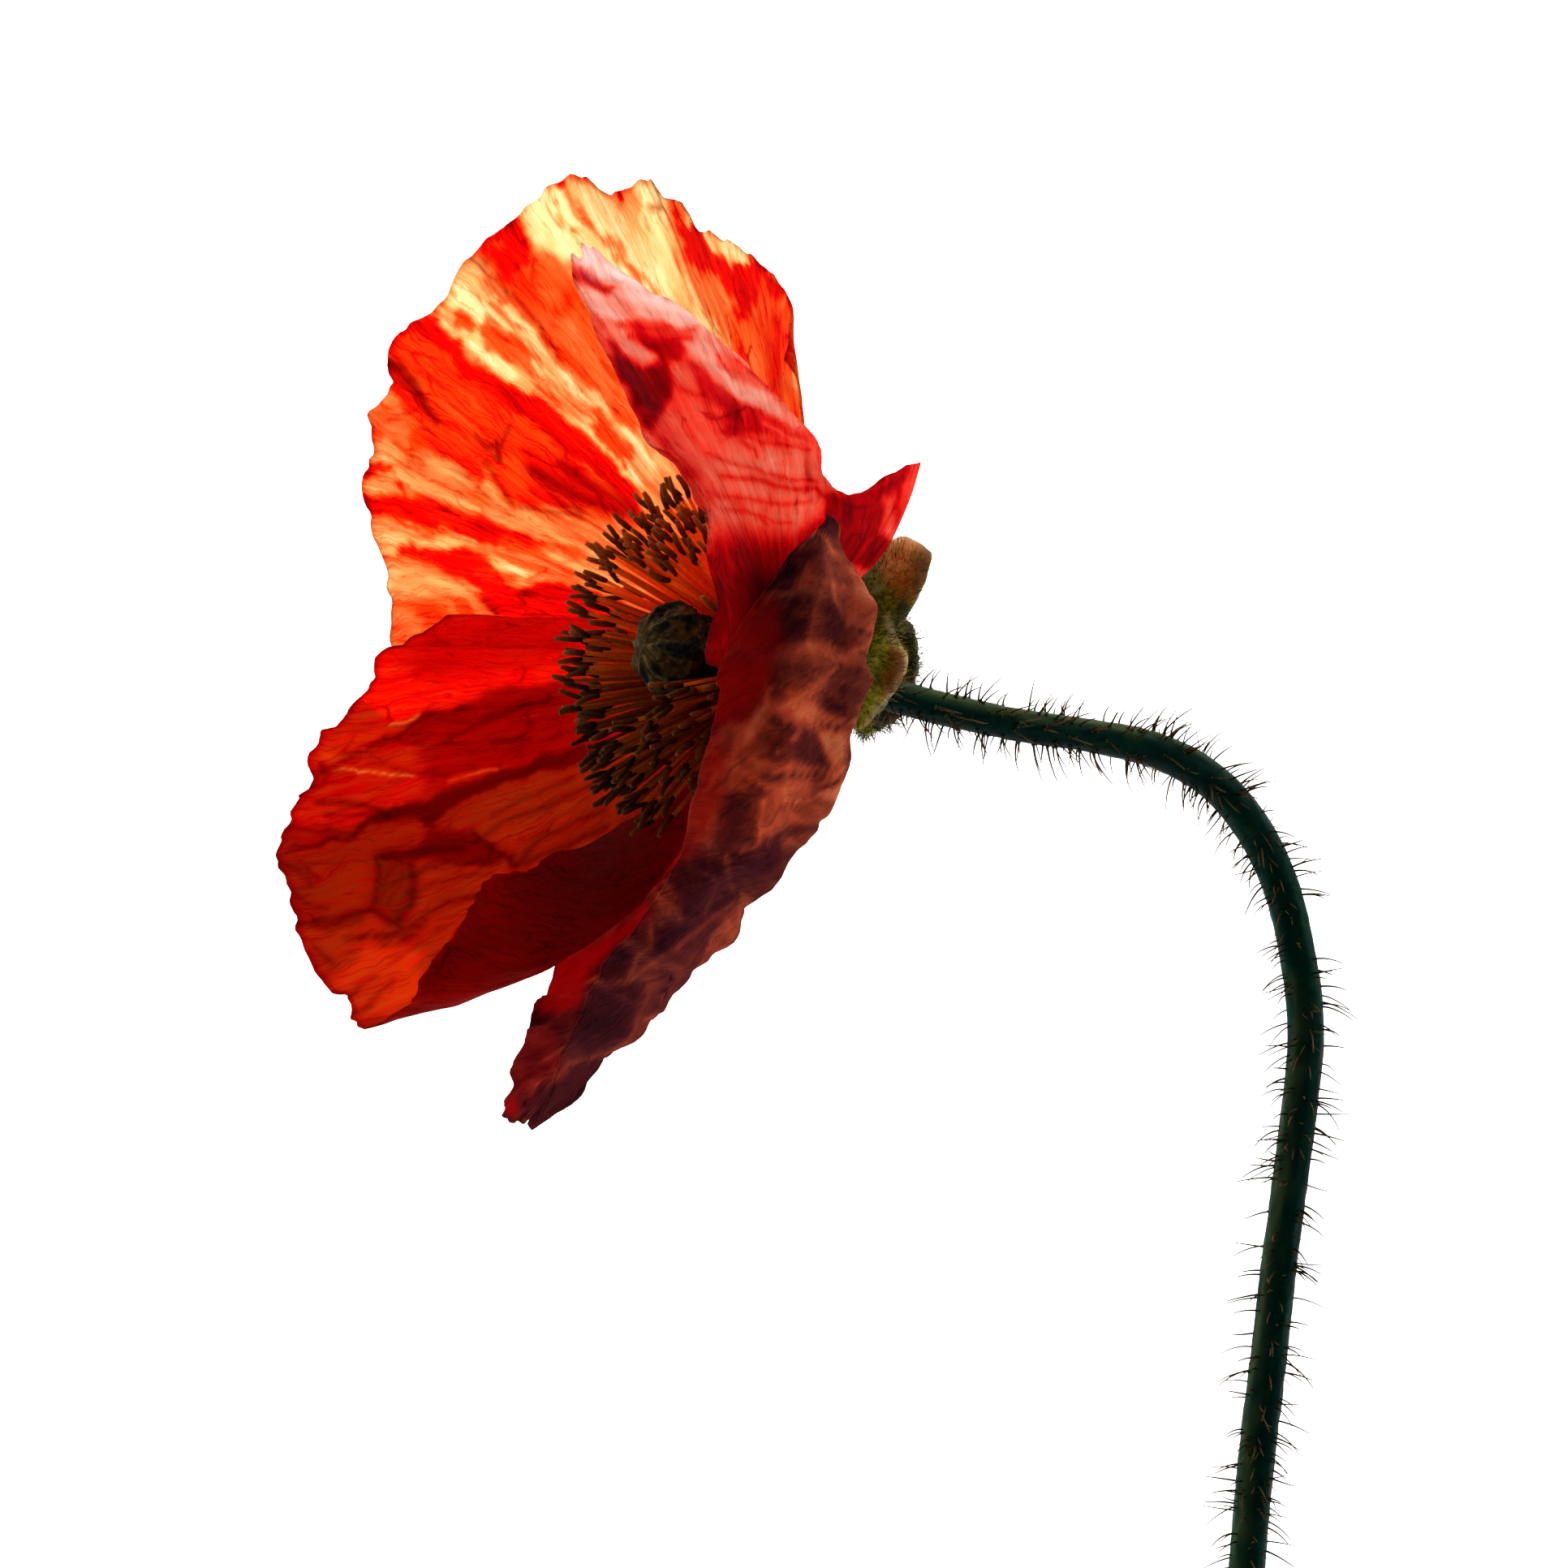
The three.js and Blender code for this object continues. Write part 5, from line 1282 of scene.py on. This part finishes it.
def anthers(random, paths, lit):
    """Long pods with a furrow down each side, each lying at its own slant."""
    count = len(lit)
    draws = lambda low, high: random.uniform(low, high, count)[:, None]
    heading = unit(paths[:, -1] - paths[:, -3])
    sideways = unit(np.cross(heading, AXIS))
    upward = np.cross(sideways, heading)
    heading = unit(heading + draws(-0.5, 0.5) * sideways + draws(-0.4, 0.4) * upward)
    length = ANTHER * random.uniform(0.7, 1.08, count)
    v = np.linspace(0, 1, ANTHER_STEPS)
    curl = draws(-0.35, 0.35) * (v * (1 - v)) * ANTHER
    start = paths[:, -1] - heading * 0.25
    middle = start[:, None] + (v * length[:, None])[..., None] * heading[:, None]
    middle = middle + curl[..., None] * upward[:, None]
    girth = 0.37 * np.sin(math.pi * np.clip(v * 0.9 + 0.05, 0, 1)) ** 0.22 * draws(0.8, 1.1)
    points, faces, along = tubes(middle, girth, ANTHER_SIDES)
    points = points.reshape(count, -1, 3)
    rings = points[:, :-2].reshape(count, ANTHER_STEPS, ANTHER_SIDES, 3)
    centre = middle[:, :, None]
    furrow = 1 - 0.32 * np.cos(2 * math.pi * np.arange(ANTHER_SIDES) / ANTHER_SIDES) ** 8
    rings = centre + (rings - centre) * furrow[None, None, :, None]
    step = np.arange(count * ANTHER_STEPS * ANTHER_SIDES)
    lumps = noise(step * 0.7, np.zeros(len(step)), 103).reshape(rings.shape[:3])
    rings = rings + (rings - centre) * 0.12 * lumps[..., None]
    points[:, :-2] = rings.reshape(count, -1, 3)
    return points.reshape(-1, 3), faces, along.ravel(), drawn(random, lit, along), 1


def collar():
    """The ring that all stamens stand in."""
    profile = [(1.2, 0.5), (1.7, 0.5), (1.75, 1.9), (2.45, 2.6), (2.1, 3.0), (1.6, 3.0), (1.35, 1.8)]
    sides = COLLAR_SIDES
    turn = 2 * math.pi * np.arange(sides) / sides
    points = np.concatenate([heart(radius * np.cos(turn), radius * np.sin(turn), np.full(sides, depth))
                             for radius, depth in profile])
    row, column = np.meshgrid(np.arange(len(profile)), np.arange(sides), indexing="ij")
    below, beside = (row + 1) % len(profile), (column + 1) % sides
    faces = np.stack([row * sides + column, row * sides + beside,
                      below * sides + beside, below * sides + column], -1)
    return points, faces.reshape(-1, 4).tolist(), np.zeros(len(points)), np.ones(len(points)), 0


def stamens():
    random = np.random.default_rng(101)
    i = np.arange(STAMENS)
    angle = i * GOLDEN + 0.15 * random.uniform(-1, 1, STAMENS)
    share = (i + 0.5) / STAMENS
    # hardly any stand between the pistil and the near petals
    kept = (np.cos(angle - NEAR_SIDE) < 0.72) | (share > 0.8)
    angle, share = angle[kept], share[kept]
    paths = filament_paths(random, angle, share)
    # painted light and shade: stamens on one side of the boss lighter, on the other darker
    lit = 0.5 + 0.42 * np.cos(angle + 0.2)
    parts = [filaments(random, paths, lit), anthers(random, paths, lit), collar()]
    made = join("stamen_boss", parts, [
        stamen_look("filament", (0.80, 0.12, 0.01), (0.92, 0.32, 0.03), 0.75),
        stamen_look("anther", (0.17, 0.045, 0.012), (0.46, 0.15, 0.028), 0.62),
    ])
    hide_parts("stamens")


PISTIL_FOOT, PISTIL_LENGTH, RAYS = 0.6, 13.0, 8
PISTIL_RINGS, PISTIL_SIDES = 110, 144
PISTIL_PROFILE = [  # radius, share of the length
    (0.8, 0), (0.85, 0.1), (1.15, 0.2), (2.3, 0.36), (3.1, 0.5), (3.2, 0.6),
    (3.75, 0.66), (3.9, 0.74), (3.55, 0.84), (2.5, 0.94), (1.0, 1),
]


def pistil():
    """Ribbed ovary under a velvety cap with raised rays and a scalloped edge."""
    profile = [(radius, share, 0) for radius, share in PISTIL_PROFILE]
    curve = spline(profile, np.linspace(0, 1, PISTIL_RINGS))
    radius, share = curve[:, :1], curve[:, 1:2]
    turn = 2 * math.pi * np.arange(PISTIL_SIDES)[None, :] / PISTIL_SIDES
    on_cap = smooth(0.62, 0.7, share)
    rays = np.cos(RAYS * turn)
    ridge = smooth(0.35, 0.9, rays) - 0.4
    swollen = radius * (1 + rays * mix(0.03, 0.06, on_cap))
    swollen = swollen + 0.18 * noise(turn * 9, share * 30, 111) + 0.12 * noise(turn * 24, share * 70, 112)
    depth = mix(PISTIL_FOOT, PISTIL_LENGTH, share) + 0.35 * on_cap * ridge * smooth(1.0, 2.5, radius)
    depth = depth + 0.10 * noise(turn * 20 + 3, share * 60, 113)
    points = heart(swollen * np.cos(turn), swollen * np.sin(turn), depth).reshape(-1, 3)
    ends = heart(np.zeros(2), np.zeros(2), np.array([PISTIL_FOOT, PISTIL_LENGTH]))
    faces = [face for part in tube_faces(PISTIL_RINGS, PISTIL_SIDES) for face in part.tolist()]
    # painted shade: near black round the cap's scalloped edge, and in blotches on the wall below
    band = on_cap * smooth(0.1, 0.5, 0.5 * rays + noise(turn * 5, share * 14, 114))
    band = band * smooth(1.4, 3.0, radius)
    blotches = 0.95 * (1 - on_cap) * smooth(-0.9, -0.1, noise(turn * 6, share * 20, 115))
    band = np.maximum(band, blotches)
    paint = np.stack([band, on_cap * np.ones_like(turn), np.zeros_like(band)], -1).reshape(-1, 3)
    paint = np.vstack([paint, [[0, 0, 0], [0, 1, 0]]])
    made = make("seed_pistil", np.vstack([points, ends]), faces, [pistil_look()], paint=paint)
    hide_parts("pistil")


# ---- the stem ----
NECK_RADIUS, STEM_RADIUS, RECEPTACLE_RADIUS = 1.43, 1.6, 3.4
STEM_RINGS, STEM_SIDES = 420, 36
BRISTLES = 1000
LYING = SURFACE + STEM_RADIUS
STEM_ROUTE = [
    (11, -2.8, -5.3), (20.5, -5, -10), (28, -6.1, -14), (34, -7.6, -17.2), (38.6, -10.3, -20),
    (42, -14.4, -21.8), (44.4, -19.5, -22.9), (45.9, -26, LYING), (46.5, -32, LYING),
    (46, -38, LYING), (45.1, -45, LYING), (44.2, -52, LYING), (43.3, -60, LYING),
    (42.2, -69, LYING), (41.4, -78, LYING), (40.6, -88, LYING), (40, -98, LYING),
]


def stem_line():
    """Evenly spaced points of the stem's middle line, and the distance along it."""
    knots = np.vstack([AXIS * -0.75, AXIS * -5, STEM_ROUTE])
    dense = spline(knots, np.linspace(0, 1, 4000))
    far = np.concatenate([[0], np.cumsum(np.linalg.norm(np.diff(dense, axis=0), axis=1))])
    even = np.linspace(0, far[-1], STEM_RINGS)
    return placed_along(even, far, dense), even


def placed_along(places, along, line):
    """Points at these distances along a line that is known at the distances in along."""
    return np.stack([np.interp(places, along, line[:, k]) for k in range(3)], -1)


def stem():
    line, along = stem_line()
    girth = mix(NECK_RADIUS, STEM_RADIUS, smooth(25, 45, along))
    radius = mix(RECEPTACLE_RADIUS, girth, np.sqrt(smooth(0.3, 4.2, along)))
    points, faces, _ = tubes(line[None], radius[None], STEM_SIDES)
    rings = points[:-2].reshape(-1, STEM_SIDES, 3)
    turn = 2 * math.pi * np.arange(STEM_SIDES)[None, :] / STEM_SIDES
    far = along[:, None]
    swell = 0.035 * noise(turn * 3, far / 5, 121) + 0.03 * noise(turn * 8, far / 0.9, 122)
    rings += (rings - line[:, None]) * swell[..., None]
    # the lower end is cut at a slant
    rings[-1, :, 1] += 0.6 * (rings[-1, :, 0] - line[-1, 0])
    # painted light and shade: the side turned towards the upper left is paler, the other side darker
    side = (unit(rings - line[:, None]) * unit(np.array([-0.3, 0.8, 0.45]))).sum(-1)
    pale = smooth(0.35, 1.0, side + 0.15 * noise(turn * 3, far / 2, 123))
    shaded_side = 1 - smooth(-0.6, 0.25, side + 0.1 * noise(turn * 3, far / 2, 124))
    points[:-2] = rings.reshape(-1, 3)
    points[:, 2] = np.maximum(points[:, 2], SURFACE)
    paint = np.zeros((len(points), 3))
    paint[:-2, :2] = np.stack([pale, shaded_side], -1).reshape(-1, 2)
    made = make("stem_stalk", points, faces, [stem_look()], paint=paint)
    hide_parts("stem")
    return line, along


def strands(roots, heading, droop, length, thick, steps, seed):
    """Paths and radii of tapering hairs that leave their roots along heading and bend towards droop."""
    random = np.random.default_rng(seed)
    u = np.linspace(0, 1, steps)[None, :, None]
    side = unit(np.cross(heading, droop + 0.01)) * random.normal(0, 0.3, (len(roots), 1))
    bend = u * heading[:, None] + u**2 * 0.5 * (droop + side)[:, None]
    paths = roots[:, None] + length[:, None, None] * bend
    paths[..., 2] = np.maximum(paths[..., 2], SURFACE + 0.05)
    return paths, (1 - 0.6 * u[..., 0] ** 1.3) * thick[:, None]


def bristle_feet(random, roots, outward):
    """The bumps that the bristles stand on."""
    u = np.linspace(0, 1, 4)[None, :, None]
    paths = (roots - outward * 0.15)[:, None] + u * 0.30 * outward[:, None]
    girth = np.array([0.21, 0.18, 0.12, 0.06])[None, :] * random.uniform(0.6, 1.1, (len(roots), 1))
    points, faces, along = tubes(paths, girth, 6)
    points[:, 2] = np.maximum(points[:, 2], SURFACE)
    return points, faces, along.ravel(), np.ones(len(points)), 1


def bristles(line, along):
    """Stiff brown hairs over the stem, each on a small pale bump; none where the stem lies on the table."""
    random = np.random.default_rng(131)
    place = np.sort(random.uniform(7.5, along[-1] - 1.0, BRISTLES))
    centre = placed_along(place, along, line)
    tangent = unit(placed_along(place, along, np.gradient(line, axis=0)))
    first = unit(np.cross(tangent, [0, 0, 1.0]))
    second = np.cross(tangent, first)
    angle = random.uniform(0, 2 * math.pi, BRISTLES)
    outward = first * np.cos(angle)[:, None] + second * np.sin(angle)[:, None]
    roots = centre + outward * (STEM_RADIUS - 0.06)
    heading = unit(outward + random.uniform(-0.25, 0.55, BRISTLES)[:, None] * tangent * 0.6)
    length = random.uniform(1.2, 2.9, BRISTLES)
    droop = tangent * random.uniform(0.1, 0.9, BRISTLES)[:, None] + random.normal(0, 0.15, (BRISTLES, 3))
    thick = random.uniform(0.065, 0.095, BRISTLES)
    keep = (centre[:, 2] >= LYING + 1.0) | (outward[:, 2] >= -0.2)
    roots, outward = roots[keep], outward[keep]
    paths, radii = strands(roots, heading[keep], droop[keep], length[keep], thick[keep], 6, 132)
    points, faces, spread = tubes(paths, radii, 4)
    draw = np.repeat(random.uniform(0, 1, keep.sum()), spread.shape[1])
    parts = [(points, faces, spread.ravel(), draw, 0), bristle_feet(random, roots, outward)]
    made = join("stem_bristles", parts, [
        strand_look("bristle", (0.04, 0.028, 0.008), (0.34, 0.17, 0.05), 0.45),
        strand_look("bristle_foot", (0.01, 0.03, 0.014), (0.12, 0.14, 0.035), 0.3),
    ])


# ---- the husk ----
SEPAL_UPPER = Sheet(
    HUSK_RING, 205, 372,
    rim=[
        (7, -5.5, -2), (8, -5, 0), (10.5, -2, 1.5), (11.5, 0.5, 2), (10.5, 3, 2.5),
        (12, 5.5, 2.5), (13.5, 9.5, 2), (11.5, 11, 0), (9.5, 10.5, -1.5),
    ],
    middle=[(4, -3.5, -1), (6.5, -2, 2.5), (7, 1.5, 4), (7.5, 5, 3.5), (5.5, 6, -0.5)],
    relief=lambda s, t: 0 * s,
    rows=52, columns=84, thickness=HUSK,
)
SEPAL_LOWER = Sheet(
    HUSK_RING, 40, 185,
    rim=[
        (10.5, 4, -10), (12, 3.5, -11), (12.5, 0.5, -12), (12, -2, -12.5), (11, -4, -12.5),
        (9, -5.5, -11), (8, -6, -8),
    ],
    middle=[(6.5, 3, -8), (8, -0.5, -11), (7.5, -3.5, -11), (5.5, -4.5, -6)],
    relief=lambda s, t: 0 * s,
    rows=52, columns=70, thickness=HUSK,
)
# the outer half curls: a cream edge runs down it, rusty inside and black with hair outside
CURL_EDGE = [(9.7, 3.9), (9.9, 2.6), (11.1, 1.2), (11.4, 0.2), (10.8, -1.4), (9.6, -3), (8.2, -4.6)]
CURL_INSIDE = [(9.9, 3), (10.4, 1.8), (11.3, 0.4), (10.8, -1.2), (9, -3.6), (9.4, -1), (9.6, 1.2)]
CURL_OUTSIDE = [(10, 3.6), (11.6, 0.4), (8.2, -4.6), (9, -7), (14, -7), (14, 4), (11, 5.5)]
# painted highlight along the top rim of the upper half
HIGHLIGHT_RIM = [(9.8, 11.2), (11.6, 11.2), (12.8, 10.4), (13.6, 9.6)]
# painted shade where the husk lies under the near lower petal
SHADE_UNDER_PETAL = [(7, 10), (9.4, 9.4), (9.6, 6.6), (8.4, 3), (7, 3)]


def sheet_hairs(name, sheet, count, length, side, seed, material):
    """Short down over one face of a sheet: side is 1 for its upper face and -1 for its under face."""
    random = np.random.default_rng(seed)
    i = (random.uniform(0.05, 1, count) ** 0.6 * (sheet.rows - 1)).astype(int)
    j = (random.uniform(0, 1, count) * (sheet.columns - 1)).astype(int)
    normal = side * sheet.normals[i, j]
    roots = sheet.points[i, j] + normal * sheet.thickness * 0.45
    outward = unit(sheet.points[np.minimum(i + 1, sheet.rows), j] - sheet.points[i, j])
    heading = unit(normal + 0.5 * outward + random.normal(0, 0.35, (count, 3)))
    droop = 0.8 * outward + random.normal(0, 0.4, (count, 3))
    long = length * random.uniform(0.5, 1.3, count)
    paths, radii = strands(roots, heading, droop, long, random.uniform(0.03, 0.05, count), 4, seed + 1)
    points, faces, along = tubes(paths, radii, 3)
    draw = np.repeat(random.uniform(0, 1, count), along.shape[1])
    made = join(name, [(points, faces, along.ravel(), draw, 0)], [material])


def husk_paint(sheet):
    """Where a half is brown, where cream, with a painted highlight along the top rim, and where dark, with
    painted shade under the petal and along the right edge.
    """
    x, y = sheet.seen(145)
    inside = patch(x, y, 0.3, CURL_INSIDE)
    brown = smooth(13.5, 17.5, x + 0.9 * y * smooth(2, 6, y) + noise(x, y, 144))
    # cream along the curl's edge, and a painted highlight along the top rim
    cream = strongest(stroke, x, y, [(0.9, 0.3, CURL_EDGE), (0.85, 0.7, HIGHLIGHT_RIM)])
    cream = np.maximum(cream, 0.3 * smooth(0.93, 0.99, sheet.t))
    # dark: the black outside of the curl, with painted shade along the right edge and where the husk lies
    # under the petal
    dusk = 0.6 * smooth(11.2, 12.6, x) * smooth(4, 7, y) * (1 - smooth(9, 10.4, y))
    dark = strongest(patch, x, y, [(0.85, 0.4, CURL_OUTSIDE), (0.45, 0.8, SHADE_UNDER_PETAL)])
    dark = np.maximum(np.maximum(dark, 0.5 * inside), dusk)
    return np.clip(np.stack([np.maximum(brown, inside), cream, dark * (1 - cream)], -1), 0, 1)


def husk():
    skin = husk_look()
    nick = lambda s: 0.01 + 0.012 * noise(s * 20, s, 141)
    fine = lambda s, t: waves(s, t, (0.25, 12, 8, 142), (0.08, 50, 30, 143))
    for sheet, half in ((SEPAL_UPPER, "upper"), (SEPAL_LOWER, "lower")):
        sheet.form(nick, fine)
        sheet.piece("husk_" + half, "sepal_" + half, "husk_green", skin, husk_paint(sheet))
    down = strand_look("husk_down", (0.22, 0.20, 0.02), (0.55, 0.48, 0.09), 0.6)
    pale = strand_look("husk_down_pale", (0.10, 0.10, 0.05), (0.42, 0.38, 0.25), 0.5)
    sheet_hairs("husk_upper_down", SEPAL_UPPER, 2600, 0.75, 1, 151, down)
    sheet_hairs("husk_upper_under_down", SEPAL_UPPER, 900, 0.8, -1, 153, down)
    sheet_hairs("husk_lower_down", SEPAL_LOWER, 1500, 1.0, 1, 155, pale)
    sheet_hairs("husk_lower_under_down", SEPAL_LOWER, 1500, 1.1, -1, 157, pale)


# ---- stage: light table, soft light, camera ----
def light_table():
    """A white glowing table, just below the part."""
    size = 3.0
    corners = [(-size, -size, 0), (size, -size, 0), (size, size, 0), (-size, size, 0)]
    mesh = bpy.data.meshes.new("light_table")
    mesh.from_pydata(corners, [], [(0, 1, 2, 3)])
    look = Look("light_table")
    table = look.node("BsdfPrincipled", {
        "Base Color": (0.8, 0.8, 0.8, 1), "Roughness": 0.9,
        "Emission Color": (1, 1, 1, 1), "Emission Strength": 2.2})
    mesh.materials.append(look.finish(table.outputs[0]))
    floor = bpy.data.objects.new("light_table", mesh)
    floor.location.z = -0.0003
    bpy.context.scene.collection.objects.link(floor)


def lights():
    world = bpy.data.worlds.new("room")
    world.use_nodes = True
    dim = world.node_tree.nodes["Background"]
    dim.inputs[0].default_value = (1, 1, 1, 1)
    dim.inputs[1].default_value = 0.12
    bpy.context.scene.world = world

    lamp = bpy.data.lights.new("soft_light", "AREA")
    lamp.size = 0.8
    lamp.energy = 1.5
    soft = bpy.data.objects.new("soft_light", lamp)
    soft.location = (-0.9, 0.7, 1.1)
    soft.rotation_euler = (0, math.radians(-39), math.radians(-38))
    bpy.context.scene.collection.objects.link(soft)


def camera():
    """Looks straight down, and takes in half_width, in metres, each way at the receptacle's level."""
    height, half_width = VIEW_HEIGHT * MM, 0.0676
    lens = bpy.data.cameras.new("camera")
    lens.sensor_width = 36
    lens.lens = lens.sensor_width / 2 * height / half_width
    lens.clip_end = 20
    made = bpy.data.objects.new("camera", lens)
    made.location = (-0.001385, 0.01786, height + RECEPTACLE[2] * MM)
    bpy.context.scene.collection.objects.link(made)
    bpy.context.scene.camera = made
    bpy.context.scene.view_settings.view_transform = "Standard"


far_upper()
far_lower()
near_upper()
near_lower()
stamens()
pistil()
bristles(*stem())
husk()
light_table()
lights()
camera()
